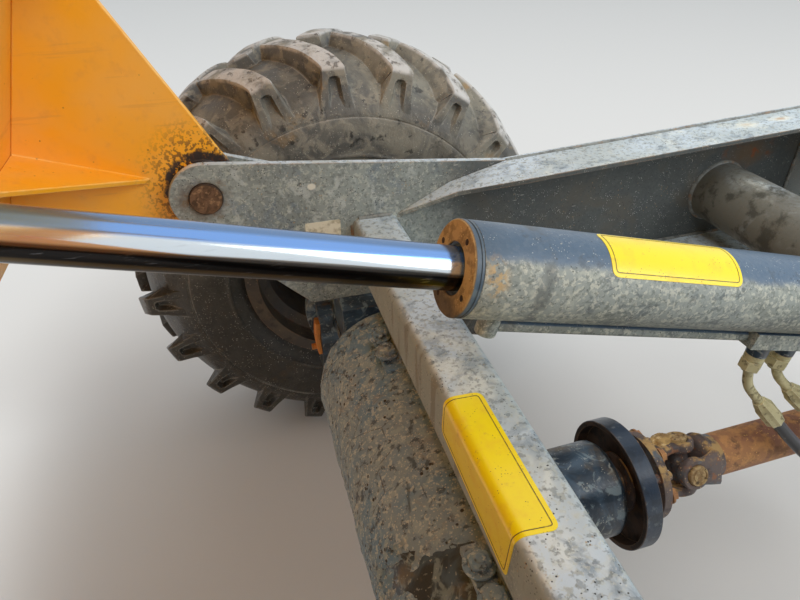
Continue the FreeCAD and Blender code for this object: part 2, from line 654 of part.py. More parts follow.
def rim(side, sign):
    """The rim's barrel with its two flanges, its dished disc and the stud holes."""
    half, wall, flange = size["rim_half_width"], size["rim_wall"], size["rim_flange_radius"]
    well, seat = size["rim_well_radius"], size["bead_radius"] - 0.3
    outer = [(flange, half), (flange, half - wall), (seat, half - wall), (seat, half - 55), (well, half - 75)]
    inner = [(seat - wall, half), (seat - wall, half - 59), (well - wall, half - 79)]
    profile = outer + [(r, -y) for r, y in reversed(outer)] + [(r, -y) for r, y in inner]
    profile += list(reversed(inner))
    barrel = turned("rim_barrel_" + side, profile)
    face, back = size["disc_offset"], size["disc_offset"] + size["disc_wall"]
    dish = [(92, face), (178, face), (205, face - 20), (well - wall, face - 20), (well - wall, face - 8),
            (208, face - 6), (183, back), (92, back)]
    disc = turned("rim_disc_" + side, [(r, y * sign) for r, y in dish])
    holes = studs("rim_hole_" + side, span(sign, face - 10, size["disc_wall"] + 20),
                  size["disc_wall"] + 20, size["stud_radius"] + 0.5)
    return on_wheel(cut("rim_" + side, fuse("rim_" + side, barrel, disc), *holes), "rim_", side, sign)


def studs(name, low_y, length, radius):
    """One short cylinder at each wheel stud."""
    pieces = []
    for i in range(int(size["stud_count"].value)):
        angle = sized(360.0 * (i + 0.5)) / size["stud_count"]
        ring = size["stud_circle_radius"]
        pieces.append(rod("%s%d" % (name, i), ring * cosine(angle), low_y, ring * sine(angle), radius, length))
    return pieces


def hub(side, sign):
    """The hub that turns on the spindle: brake drum inboard, wheel flange, nose, studs and nuts."""
    inboard = size["arm_half_length"] + 10 - size["track_half"]
    face, bore = size["disc_offset"], size["spindle_radius"] + GAP
    profile = [(bore, inboard), (138, inboard), (138, inboard + 112), (110, inboard + 124), (80, inboard + 130),
               (80, face - 25), (size["hub_radius"] + 40, face - 20), (size["hub_radius"] + 40, face),
               (88, face), (88, face + 50), (70, face + 58), (0, face + 58), (0, -18), (bore, -18)]
    body = turned("hub_body_" + side, [(r, y * sign) for r, y in profile])
    back = face + size["disc_wall"]
    rods = studs("stud_" + side, span(sign, face - 5, 55), 55, size["stud_radius"])
    nuts = studs("nut_" + side, span(sign, back, 20), 20, size["stud_radius"] + 7)
    return on_wheel(fuse("hub_" + side, body, *(rods + nuts)), "hub_", side, sign)


def along_ram(item):
    """Place a piece drawn along its own X from the base pin, on the ram's line."""
    return place(item, size["axle_ahead"] + BASE_X, 0, BASE_Z - size["axle_below"], turn=-size["ram_slope"])


def ram_barrel():
    """The barrel with its base cap and eye, and the port block under its rear end."""
    outer, bore, gland = size["barrel_radius"], size["bore_radius"], size["gland_ahead"]
    tube = turned("barrel_tube", [(50, 0), (50, 46), (66, outer), (gland - 40, outer), (gland - 40, bore),
                                  (88, bore), (88, 0)], "H_Axis")
    eye = rod("barrel_eye", 0, -size["eye_width"] / 2, 0, size["eye_radius"], size["eye_width"])
    neck = block("barrel_neck", 0, -size["eye_width"] / 2, -38, 70, size["eye_width"], 76)
    ports = block("barrel_ports", size["ports_start"], -12, -outer - size["ports_depth"], size["ports_length"],
                  44, size["ports_depth"] + 4)
    chamber = rod("barrel_chamber", 88, 0, 0, bore, 600, "X")
    bore_hole = rod("barrel_eye_bore", 0, -60, 0, size["ram_pin_radius"] + GAP, 120)
    return node(along_ram(cut("barrel", fuse("barrel_parts", tube, neck, eye, ports), chamber, bore_hole)),
                "ram_barrel")


def ram_gland():
    """The gland nut in the barrel's mouth, grooved round its collar, with four spanner holes."""
    outer, bore, gland = size["barrel_radius"], size["bore_radius"] - 0.3, size["gland_ahead"]
    hole = size["rod_radius"] + GAP
    ring = turned("gland_ring", [(gland - 95, hole), (gland - 95, bore), (gland - 40, bore),
                                 (gland - 40, outer), (gland - 22, outer), (gland - 21, outer - 1.5),
                                 (gland - 19, outer - 1.5), (gland - 18, outer), (gland - 2, outer),
                                 (gland, outer - 2), (gland, hole + 3), (gland - 5, hole)], "H_Axis")
    holes = []
    for i in range(4):
        angle = math.radians(90 * i + 20)
        holes.append(rod("gland_hole%d" % i, gland - 12, 45 * math.cos(angle), 45 * math.sin(angle), 4, 20, "X"))
    return node(along_ram(cut("gland", ring, *holes)), "ram_gland")


def ram_pipe():
    """The hard oil pipe under the barrel, from the port block to the boss near the gland."""
    outer, gland = size["barrel_radius"], size["gland_ahead"]
    height = -outer - 12
    start = size["ports_start"] + size["ports_length"]
    pipe = rod("pipe_run", start, 10, height, 9, gland - start - 62, "X")
    boss = rod("pipe_boss", gland - 62, 10, height - 13, 15, 40, "Z")
    barrel = rod("pipe_saddle", 200, 0, 0, outer, 600, "X")
    return node(along_ram(cut("pipe", fuse("pipe_parts", pipe, boss), barrel)), "ram_pipe")


def ram_rod():
    """The rod with its piston, to the shoulder of its eye."""
    rod_r, gland = size["rod_radius"], size["gland_ahead"]
    piston = gland - 110
    end = RAM_LENGTH - size["eye_radius"] + 8
    body = turned("rod_body", [(piston - 50, 0), (piston - 50, size["bore_radius"] - 0.1),
                               (piston, size["bore_radius"] - 0.1), (piston, rod_r), (end, rod_r), (end, 0)],
                  "H_Axis")
    return node(along_ram(body), "ram_rod")


def rod_eye():
    """The eye on the rod's end, with the middle length of its pin."""
    eye = rod("rod_eye_body", RAM_LENGTH, -size["eye_width"] / 2, 0, size["eye_radius"], size["eye_width"])
    seat = rod("rod_eye_seat", RAM_LENGTH - 200, 0, 0, size["rod_radius"], 200 - size["eye_radius"] + 8, "X")
    return node(along_ram(cut("rod_eye", eye, seat)), "rod_eye")


def between(name, start, end, radius):
    """A cylinder from one point to another, in the axle's frame."""
    run = FreeCAD.Vector(*end) - FreeCAD.Vector(*start)
    item = doc.addObject("Part::Cylinder", name)
    bind(item, "Radius", radius)
    item.Height = run.Length
    item.Placement = FreeCAD.Placement(FreeCAD.Vector(*start), FreeCAD.Rotation(FreeCAD.Vector(0, 0, 1), run))
    return item


# Each hose: the boss under the port block, then the points its fitting and the hose pass
HOSES = [
    {"name": "hose_front",
     "boss": (-516, 15, 236), "hex": (-511, 15, 198), "bend": (-520, 16, 146), "ferrule": (-550, 26, 106),
     "start": (-588, 42, 62),
     "route": [(-627.9, 58.8, 15.8), (-668, 84, -24), (-728, 108, -54), (-800, 122, -66), (-872, 134, -58),
               (-928, 146, -36), (-968, 150, -8), (-1014, 150, -8)]},
    {"name": "hose_rear",
     "boss": (-574, 15, 222), "hex": (-569, 15, 190), "bend": (-583, 16, 150), "ferrule": (-606, 24, 122),
     "start": (-646, 40, 82),
     "route": [(-686, 56, 42), (-736, 82, 18), (-800, 110, 12), (-868, 132, 16), (-930, 146, 34),
               (-970, 150, 56), (-1014, 150, 56)]},
]


def hose_route(entry):
    """The hose's route, stretched along X where the head plate stands elsewhere."""
    start, end = entry["start"][0], entry["route"][-1][0]
    stretch = ((REAR + size["hose_end_gap"]).value - start) / (end - start)
    return [(start + (x - start) * stretch, y, z) for x, y, z in entry["route"]]


def hose_fittings():
    """The screwed fittings under the port block, each bent back to its ferrule."""
    pieces = []
    for hose in HOSES:
        name = hose["name"]
        pieces.append(between(name + "_boss", hose["boss"], hose["hex"], 15))
        pieces.append(between(name + "_hex", hose["hex"], hose["bend"], 8))
        pieces.append(between(name + "_tube", hose["bend"], hose["ferrule"], 8))
        pieces.append(between(name + "_ferrule", hose["ferrule"], hose["start"], 15))
    floor = -size["barrel_radius"] - size["ports_depth"]
    under = upright_plate("fittings_top", [(70, floor), (300, floor), (300, 50), (70, 50)], -60, 120)
    place(under, BASE_X, 0, BASE_Z, turn=-size["ram_slope"])
    return from_axle(cut("fittings", fuse("fittings_parts", *pieces), under), "hose_fittings")


def hose_bulkhead():
    """The two fittings through the head plate that the hoses end in."""
    pieces = []
    for hose in HOSES:
        x, y, z = hose["route"][-1]
        pieces.append(rod(hose["name"] + "_end", REAR, y, z, 17, size["hose_end_gap"] - 0.3, "X"))
    return from_axle(fuse("bulkhead", *pieces), "hose_bulkhead")


def route_wire(points):
    """Straight runs joined by tangent arcs, each arc as large as its two runs allow."""
    corners = [FreeCAD.Vector(*p) for p in points]
    edges, radii, last = [], [], corners[0]
    for i in range(1, len(corners) - 1):
        back, on = corners[i - 1] - corners[i], corners[i + 1] - corners[i]
        shorter = min(back.Length, on.Length)
        turn = math.pi - back.getAngle(on)
        reach = 0.45 * shorter
        radius = reach / math.tan(turn / 2)
        radii.append(radius)
        back.normalize()
        on.normalize()
        enter, leave = corners[i] + back * reach, corners[i] + on * reach
        middle_dir = back + on
        middle_dir.normalize()
        inset = radius / math.cos(turn / 2) - radius
        edges.append(Part.LineSegment(last, enter).toShape())
        edges.append(Part.Arc(enter, corners[i] + middle_dir * inset, leave).toShape())
        last = leave
    edges.append(Part.LineSegment(last, corners[-1]).toShape())
    return Part.Wire(edges), radii


def hose(entry):
    """A hose swept along its route, from its ferrule to the head plate."""
    points = [entry["start"]] + hose_route(entry)
    first = FreeCAD.Vector(*points[1]) - FreeCAD.Vector(*points[0])
    first.normalize()
    points[0] = tuple(FreeCAD.Vector(*points[0]) + first * 0.3)
    wire, radii = route_wire(points)
    ring = Part.makeCircle(size["hose_radius"].value, FreeCAD.Vector(*points[0]), first)
    solid = wire.makePipeShell([Part.Wire([ring])], True, False)
    item = doc.addObject("Part::Feature", entry["name"] + "_body")
    item.Shape = solid
    section = math.pi * size["hose_radius"].value ** 2
    print("%s length %.0f volume share %.4f tightest %.0f" %
          (entry["name"], wire.Length, solid.Volume / section / wire.Length, min(radii)))
    return from_axle(item, entry["name"])


# The skip is drawn lowered, from its pivot, and turned to its raised place.
FLOOR = size["floor_above"]
WALL = size["skip_wall"]
TIP_SIN, TIP_COS = sine(size["tip_angle"]), cosine(size["tip_angle"])
REACH_X, REACH_Z = EYE_X - PIVOT_X, EYE_Z - PIVOT_Z
CLEVIS_X = REACH_X * TIP_COS - REACH_Z * TIP_SIN
CLEVIS_Z = REACH_X * TIP_SIN + REACH_Z * TIP_COS
TOP_FALL = size["skip_top_front_z"] - size["skip_top_rear_z"]
TOP_SLOPE = TOP_FALL / (size["skip_top_front_x"] - size["skip_top_rear_x"])


def raised(item, name):
    """A finished piece of the skip, drawn lowered about the pivot, in its raised place."""
    place(item, PIVOT_X + size["axle_ahead"], 0, PIVOT_Z - size["axle_below"], turn=size["tip_angle"])
    return node(item, name)


def top_line(x):
    """The height of the skip's top edge at a place along it."""
    return size["skip_top_rear_z"] + TOP_SLOPE * (x - size["skip_top_rear_x"])


def skip_shell():
    """Floor, chute, rear wall and sides, with a raised pocket over the ram's eye."""
    half = size["skip_half_width"]
    rear, knee, lip_x, lip_z = size["skip_rear_x"], size["knee_x"], size["lip_x"], size["lip_z"]
    outer = upright_plate("skip_outer", [(rear, FLOOR), (knee, FLOOR), (lip_x, lip_z),
                                         (size["skip_top_front_x"], size["skip_top_front_z"]),
                                         (size["skip_top_rear_x"], size["skip_top_rear_z"])],
                          -half, half * 2)
    rise = (lip_z - FLOOR) / (lip_x - knee)
    lean = (size["skip_top_rear_x"] - rear) / (size["skip_top_rear_z"] - FLOOR)
    lift = WALL * root(rise * rise + 1)
    shift = WALL * root(lean * lean + 1)
    knee_in = knee + (WALL - lift) / rise
    front, over = lip_x + 120, size["skip_top_rear_z"] + 200
    inner = upright_plate("skip_inner", [(rear + lean * WALL + shift, FLOOR + WALL), (knee_in, FLOOR + WALL),
                                         (front, FLOOR + rise * (front - knee) + lift), (front, over),
                                         (rear + lean * (over - FLOOR) + shift, over)],
                          -half + WALL, (half - WALL) * 2)
    pocket = block("pocket_outer", CLEVIS_X - 110, -98, FLOOR, 220, 196, 70)
    hollow = block("pocket_inner", CLEVIS_X - 102, -90, FLOOR - 5, 204, 180, 67)
    shell = cut("skip", outer, inner)
    return raised(cut("skip_open", fuse("skip_pocket", shell, pocket), hollow), "skip_shell")


def skip_rim():
    """The bar round the top of the sides and the rear wall."""
    half, front, rear = size["skip_half_width"], size["skip_top_front_x"], size["skip_top_rear_x"]
    depth, width = size["bar_depth"], size["bar_width"]
    bars = []
    for side, sign in SIDES:
        bars.append(upright_plate("rim_bar_" + side,
                                  [(front - 4, top_line(front - 4)), (rear - 40, top_line(rear - 40)),
                                   (rear - 40, top_line(rear - 40) - depth),
                                   (front - 4, top_line(front - 4) - depth)],
                                  span(sign, half, width), width))
    lean = (rear - size["skip_rear_x"]) / (size["skip_top_rear_z"] - FLOOR)
    top, low = size["skip_top_rear_z"], size["skip_top_rear_z"] - depth
    back = upright_plate("rim_bar_rear", [(rear, top), (rear - lean * depth, low), (rear - 40, low),
                                          (rear - 40, top_line(rear - 40))], -half, half * 2)
    return raised(fuse("skip_bars", back, *bars), "skip_rim")


def skip_ribs():
    """Upright stiffeners on the skip's sides, from the floor to the bar."""
    pieces = []
    low, width, depth = FLOOR + 10, size["rib_width"], size["rib_depth"]
    under = size["bar_depth"] + 0.3
    for side, sign in SIDES:
        for number, share in enumerate((0.11, 0.562, 1.022)):
            x = size["skip_rear_x"] * (1 - share)
            pieces.append(upright_plate("rib_%s_%d" % (side, number),
                                        [(x, low), (x + width, low), (x + width, top_line(x + width) - under),
                                         (x, top_line(x) - under)],
                                        span(sign, size["skip_half_width"], depth), depth))
    return raised(fuse("ribs", *pieces), "skip_ribs")


def skip_bearers():
    """The two beams under the floor, with feet that come down on the rails."""
    inner, width, depth = size["bearer_inner"], size["bearer_width"], size["bearer_depth"]
    foot, low = size["foot_width"], size["foot_low"]
    pieces = []
    for side, sign in SIDES:
        pieces.append(block("bearer_" + side, size["skip_rear_x"], span(sign, inner, width), FLOOR - depth,
                            size["bearer_length"], width, depth))
        pieces.append(block("bearer_foot_" + side, size["foot_behind"], span(sign, inner + 5, foot), low,
                            size["foot_length"], foot, FLOOR - depth - low))
    return raised(fuse("bearers", *pieces), "skip_bearers")


def skip_pads():
    """Rubber pads under the bearers' feet."""
    foot, height = size["foot_width"], size["pad_height"]
    pads = []
    for side, sign in SIDES:
        pads.append(block("pad_" + side, size["foot_behind"], span(sign, size["bearer_inner"] + 5, foot),
                          size["foot_low"] - height, size["foot_length"], foot, height))
    return raised(fuse("pads", *pads), "skip_pads")


def skip_bracket(side, sign):
    """The pivot bracket under the floor, with its boss in the fork and a cross gusset."""
    big, start = size["bracket_radius"], OUTER - size["fork_gap"] + 20
    plate = upright_plate("bracket_plate_" + side,
                          [(-big * 0.741, -big * 0.674), (size["bracket_edge_x"] - 76, FLOOR), (137, FLOOR),
                           (big * 0.981, -big * 0.194)], span(sign, start, size["bracket_plate"]),
                          size["bracket_plate"], [(0, 0, big)])
    width = size["fork_gap"] - 2
    boss = rod("bracket_boss_" + side, 0, span(sign, SIDE + PLATE + 1, width), 0, 60, width)
    bore = rod("bracket_bore_" + side, 0, span(sign, SIDE, 90), 0, size["pivot_pin_radius"] + GAP, 90)
    web = new_body("bracket_gusset_" + side)
    sketch = new_sketch(web, "YZ_Plane", -5)
    near = start * sign
    polygon(sketch, [(near, 98), (near, FLOOR), (near - 165 * sign, FLOOR)])
    pad(web, sketch, 10)
    return raised(cut("bracket_" + side, fuse("bracket_parts_" + side, plate, boss, web), bore),
                  "skip_bracket_" + side)


def rod_clevis():
    """Two plates in the pocket, with the ends of the pin that holds the rod's eye."""
    roof, x, z = FLOOR + 62, CLEVIS_X, CLEVIS_Z
    inner = size["eye_width"] / 2 + 2.5
    pieces = []
    for side, sign in SIDES:
        pieces.append(upright_plate("clevis_" + side, [(x - 62, roof), (x + 62, roof), (x + 44, z), (x - 44, z)],
                                    span(sign, inner, 16), 16, [(x, z, 44)]))
        pieces.append(rod("clevis_pin_" + side, x, span(sign, inner, 26), z, size["ram_pin_radius"], 26))
    return raised(fuse("clevis", *pieces), "rod_clevis")


def finished():
    """Stop if a feature failed, then write each sub-part."""
    doc.recompute()
    for item in doc.Objects:
        if "Invalid" in item.State or "Error" in item.State:
            raise RuntimeError("feature failed: " + item.Name)
    for item in nodes:
        if item.Shape.isNull() or not item.Shape.isValid():
            raise RuntimeError("bad shape: " + item.Label)
        item.Shape.exportStep("parts/%s.step" % item.Label)


for side, sign in SIDES:
    side_plate(side, sign)
    outer_cheek(side, sign)
    rail_flanges(side, sign)
    pivot_pin(side, sign)
    brake_housing(side, sign)
    tyre(side, sign)
    rim(side, sign)
    hub(side, sign)
    skip_bracket(side, sign)
crossmember()
axle_housing()
axle_saddles()
ram_mount()
ram_base_pin()
head_plate()
articulation_lug("articulation_lug_upper", size["axle_below"])
articulation_lug("articulation_lug_lower", size["axle_below"] - size["lower_lug_below"])
propshaft()
pinion_flange()
parking_drum()
propshaft_bearing()
ram_barrel()
ram_gland()
ram_pipe()
ram_rod()
rod_eye()
hose_fittings()
hose_bulkhead()
for entry in HOSES:
    hose(entry)
skip_shell()
skip_rim()
skip_ribs()
skip_bearers()
skip_pads()
rod_clevis()
finished()
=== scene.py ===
"""Looks for the front unit of an articulated site dumper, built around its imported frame.

Metres, +X forward, +Y left, +Z up; the origin is the centre of the upper articulation bore.
"""
import json
import math

import bpy
import bmesh
import numpy as np
from mathutils import Matrix, Vector


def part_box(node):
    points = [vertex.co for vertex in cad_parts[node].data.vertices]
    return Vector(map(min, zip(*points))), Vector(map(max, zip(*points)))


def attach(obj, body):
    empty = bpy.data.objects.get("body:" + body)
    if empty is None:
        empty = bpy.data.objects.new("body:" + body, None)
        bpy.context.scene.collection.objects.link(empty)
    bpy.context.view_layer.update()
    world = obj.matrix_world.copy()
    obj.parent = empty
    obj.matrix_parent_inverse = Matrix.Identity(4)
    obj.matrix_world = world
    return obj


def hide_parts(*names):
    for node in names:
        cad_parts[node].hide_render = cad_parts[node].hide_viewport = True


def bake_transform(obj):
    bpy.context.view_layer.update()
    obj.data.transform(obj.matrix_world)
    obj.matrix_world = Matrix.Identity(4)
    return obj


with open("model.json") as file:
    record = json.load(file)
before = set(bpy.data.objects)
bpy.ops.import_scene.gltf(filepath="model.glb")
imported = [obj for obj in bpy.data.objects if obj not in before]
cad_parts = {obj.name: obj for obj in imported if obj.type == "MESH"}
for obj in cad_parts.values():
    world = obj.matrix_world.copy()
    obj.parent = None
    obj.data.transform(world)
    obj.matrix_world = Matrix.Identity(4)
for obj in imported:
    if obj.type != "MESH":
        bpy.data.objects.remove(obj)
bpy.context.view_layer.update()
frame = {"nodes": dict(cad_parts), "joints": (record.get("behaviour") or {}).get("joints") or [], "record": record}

# Places read from the frame's joints
joints = {joint["name"]: joint for joint in frame["joints"]}
PIVOT = np.array(joints["skip_tip"]["pos_m"])
RAM_BASE = np.array(joints["ram_swing"]["pos_m"])
RAM_LINE = np.array(joints["rod_slide"]["axis"])
RAM_UP = np.array([-RAM_LINE[2], 0.0, RAM_LINE[0]])
SHAFT = np.array(joints["propshaft_spin"]["pos_m"])
SHAFT_LINE = np.array(joints["propshaft_spin"]["axis"])
WHEELS = {side: np.array(joints["wheel_%s_roll" % side]["pos_m"]) for side in ("left", "right")}
AXLE = np.array([WHEELS["left"][0], 0.0, WHEELS["left"][2]])
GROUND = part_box("tyre_left")[0].z
SLOTS = {row["node"]: row["material_slot"] for row in frame["record"]["subparts"]}
BODY_OF = {node: body for body, members in frame["record"]["behaviour"]["bodies"].items() for node in members}
ACROSS = np.array([0.0, 1.0, 0.0])
AHEAD = np.array([1.0, 0.0, 0.0])
UPWARD = np.array([0.0, 0.0, 1.0])
FULL_TURN = 2.0 * math.pi
SKIP_ANGLE = math.radians(71.5)
SKIP_UP = np.array([math.sin(SKIP_ANGLE), 0.0, math.cos(SKIP_ANGLE)])


def unit(line):
    return np.array(line, float) / np.linalg.norm(line)


def at(x, y, z):
    """A place given from the middle of the axle."""
    return AXLE + np.array([x, y, z])


def on_ram(along, angle=0.0, radius=0.0):
    """A place along the ram from its base pin, at an angle from its upper side towards the left."""
    out = math.cos(angle) * RAM_UP + math.sin(angle) * ACROSS
    return RAM_BASE + along * RAM_LINE + radius * out


PHOTO_WIDTH = 800.0
FOCAL_PIXELS = 604.57
SENSOR = 36.0


def make_camera():
    """The camera stands over the left rear of the frame and looks across to the right wheel."""
    right = Vector((-0.960, 0.281, -0.008)).normalized()
    down = Vector((0.163, 0.535, -0.829))
    down = (down - right * down.dot(right)).normalized()
    forward = right.cross(-down).normalized() * -1.0
    data = bpy.data.cameras.new("camera")
    data.sensor_width = SENSOR
    data.lens = FOCAL_PIXELS * SENSOR / PHOTO_WIDTH
    data.clip_start = 0.02
    data.clip_end = 60.0
    camera = bpy.data.objects.new("camera", data)
    turn = Matrix((right, -down, -forward)).transposed()
    camera.matrix_world = Matrix.Translation((1.4113, 0.5957, 0.545)) @ turn.to_4x4()
    bpy.context.scene.collection.objects.link(camera)
    bpy.context.scene.camera = camera


make_camera()

# Each hose's route from its ferrule to the head plate, from the middle of the axle
HOSE_DIAMETER = 0.022
HOSES = {
    "hose_front": {"length": 0.497, "route": [
        (-0.5881, 0.0420, 0.0617), (-0.6279, 0.0588, 0.0158), (-0.668, 0.084, -0.024), (-0.728, 0.108, -0.054),
        (-0.800, 0.122, -0.066), (-0.872, 0.134, -0.058), (-0.928, 0.146, -0.036), (-0.968, 0.150, -0.008),
        (-1.014, 0.150, -0.008)]},
    "hose_rear": {"length": 0.415, "route": [
        (-0.6462, 0.0401, 0.0818), (-0.686, 0.056, 0.042), (-0.736, 0.082, 0.018), (-0.800, 0.110, 0.012),
        (-0.868, 0.132, 0.016), (-0.930, 0.146, 0.034), (-0.970, 0.150, 0.056), (-1.014, 0.150, 0.056)]},
}


# Most of what the photo shows stands in the skip's shade, so every colour read there is lifted a little
SHADE_LIFT = 1.08


def srgb(red, green, blue):
    """A colour given as a screen shows it, from 0 to 255, lifted, in the linear form that a shader takes."""
    screen = np.array([red, green, blue]) / 255.0
    linear = np.where(screen <= 0.04045, screen / 12.92, ((screen + 0.055) / 1.055) ** 2.4)
    linear = np.minimum(linear * SHADE_LIFT, 1.0)
    return (float(linear[0]), float(linear[1]), float(linear[2]), 1.0)


class Finish:
    """A procedural finish: layers of colour, roughness and height over object coordinates in metres."""

    def __init__(self, name, colour, rough=0.6, metallic=0.0, coat=0.0):
        self.material = bpy.data.materials.new(name)
        self.material.use_nodes = True
        self.tree = self.material.node_tree
        self.shader = self.tree.nodes["Principled BSDF"]
        self.shader.inputs["Metallic"].default_value = metallic
        self.shader.inputs["Coat Weight"].default_value = coat
        self.shader.inputs["Coat Roughness"].default_value = 0.15
        coordinates = self.tree.nodes.new("ShaderNodeTexCoord")
        self.place = coordinates.outputs["Object"]
        self.normal = coordinates.outputs["Normal"]
        self.colour = colour
        self.rough = rough
        self.height = 0.0

    def node(self, kind, values=(), output=0, **settings):
        """One output of a new node, with its settings and its input values or links."""
        made = self.tree.nodes.new(kind)
        for key, value in settings.items():
            setattr(made, key, value)
        for key, value in dict(values).items():
            if isinstance(value, bpy.types.NodeSocket):
                self.tree.links.new(value, made.inputs[key])
            else:
                made.inputs[key].default_value = value
        return made.outputs[output]

    def maths(self, operation, first, second=0.0):
        return self.node("ShaderNodeMath", {0: first, 1: second}, operation=operation)

    def vector(self, operation, first, second=(0.0, 0.0, 0.0), output="Vector"):
        return self.node("ShaderNodeVectorMath", {0: first, 1: tuple(second)}, output, operation=operation)

    def fade(self, value, low, high):
        """0 below low and 1 above high, with a smooth step between; the other way round if low is the larger."""
        ends = {"Value": value, "From Min": min(low, high), "From Max": max(low, high)}
        if low > high:
            ends.update({"To Min": 1.0, "To Max": 0.0})
        return self.node("ShaderNodeMapRange", ends, interpolation_type="SMOOTHSTEP")

    def stretched(self, stretch):
        return self.place if stretch is None else self.vector("MULTIPLY", self.place, stretch)

    def noise(self, scale, detail=4.0, rough=0.55, stretch=None, warp=0.0):
        values = {"Vector": self.stretched(stretch), "Scale": scale, "Detail": detail, "Roughness": rough,
                  "Distortion": warp}
        return self.node("ShaderNodeTexNoise", values)

    def patches(self, scale, low, high, detail=4.0, stretch=None, warp=0.0):
        return self.fade(self.noise(scale, detail, 0.6, stretch, warp), low, high)

    def specks(self, scale, size, thin=0.5, stretch=None):
        """Small round specks, thinned out by a noise of their own."""
        cells = self.node("ShaderNodeTexVoronoi", {"Vector": self.stretched(stretch), "Scale": scale})
        return self.maths("MULTIPLY", self.fade(cells, size, size * 0.6), self.patches(scale * 0.21, thin, thin + 0.08))

    def cracks(self, scale, width, stretch=None):
        """Thin lines between cells."""
        edge = self.node("ShaderNodeTexVoronoi", {"Vector": self.stretched(stretch), "Scale": scale},
                         feature="DISTANCE_TO_EDGE")
        return self.fade(edge, width, width * 0.3)

    def spot(self, centre, radii, soft=0.25, wobble=0.0, scale=40.0):
        """1 inside an ellipsoid about a centre, fading out at its edge, which a noise roughens."""
        away = self.vector("SUBTRACT", self.place, centre)
        away = self.vector("DIVIDE", away, radii)
        away = self.vector("LENGTH", away, output="Value")
        if wobble:
            bend = self.maths("MULTIPLY_ADD", self.noise(scale, 5.0, 0.65), wobble * 2.0)
            bend.node.inputs[2].default_value = -wobble
            away = self.maths("ADD", away, bend)
        return self.fade(away, 1.0, 1.0 - soft)

    def along(self, origin, direction):
        """The distance of a place from an origin, measured along a direction."""
        away = self.vector("SUBTRACT", self.place, origin)
        return self.vector("DOT_PRODUCT", away, direction, output="Value")

    def radial(self, origin, axis):
        """The distance of a place from a line."""
        away = self.vector("CROSS_PRODUCT", self.vector("SUBTRACT", self.place, origin), unit(axis))
        return self.vector("LENGTH", away, output="Value")

    def scratches(self):
        """A few thin scratches, each a stretched speck, thinned out."""
        return self.both(self.specks(16.0, 0.10, 0.50, (1.0, 9.0, 9.0)), self.patches(30.0, 0.40, 0.50))

    def box_inside(self):
        """1 between the skip's sides and above its floor."""
        wide = self.fade(self.maths("ABSOLUTE", self.along((0.0, 0.0, 0.0), ACROSS)), 1.0045, 1.0030)
        above = self.both(self.fade(self.along(PIVOT, SKIP_UP), 0.3200, 0.3215), self.facing(SKIP_UP, -0.12, -0.04))
        return self.both(wide, above)

    def facing(self, direction, low, high):
        """How far the surface looks along a direction of the piece itself."""
        return self.fade(self.vector("DOT_PRODUCT", self.normal, direction, output="Value"), low, high)

    def edges(self, radius=0.004, low=0.992, high=0.93):
        """1 along the edges, where a rounded normal leaves the true one."""
        plain = self.node("ShaderNodeNewGeometry", output="Normal")
        eased = self.node("ShaderNodeBevel", {"Radius": radius}, samples=3)
        away = self.node("ShaderNodeVectorMath", {0: plain, 1: eased}, "Value", operation="DOT_PRODUCT")
        return self.fade(away, low, high)

    def both(self, first, second):
        return self.maths("MULTIPLY", first, second)

    def paint(self, mask, colour, rough=None, lift=0.0, share=1.0):
        """Lay a colour over the finish where the mask is 1, with its roughness and its thickness in metres."""
        if share != 1.0:
            mask = self.maths("MULTIPLY", mask, share)
        self.colour = self.node("ShaderNodeMixRGB", {"Fac": mask, "Color1": self.colour, "Color2": colour})
        if rough is not None:
            step = self.maths("SUBTRACT", rough, self.rough)
            scaled = self.maths("MULTIPLY", step, mask)
            self.rough = self.maths("ADD", self.rough, scaled)
        if lift:
            self.raise_by(mask, lift)
        return self

    def raise_by(self, mask, lift):
        self.height = self.maths("ADD", self.height, self.maths("MULTIPLY", mask, lift))
        return self

    def done(self):
        """Join the layers to the shader, and give the material."""
        for name, value in (("Base Color", self.colour), ("Roughness", self.rough)):
            if isinstance(value, bpy.types.NodeSocket):
                self.tree.links.new(value, self.shader.inputs[name])
            else:
                self.shader.inputs[name].default_value = value
        if isinstance(self.height, bpy.types.NodeSocket):
            bump = self.node("ShaderNodeBump", {"Height": self.height, "Distance": 1.0, "Strength": 1.0})
            self.tree.links.new(bump, self.shader.inputs["Normal"])
        return self.material


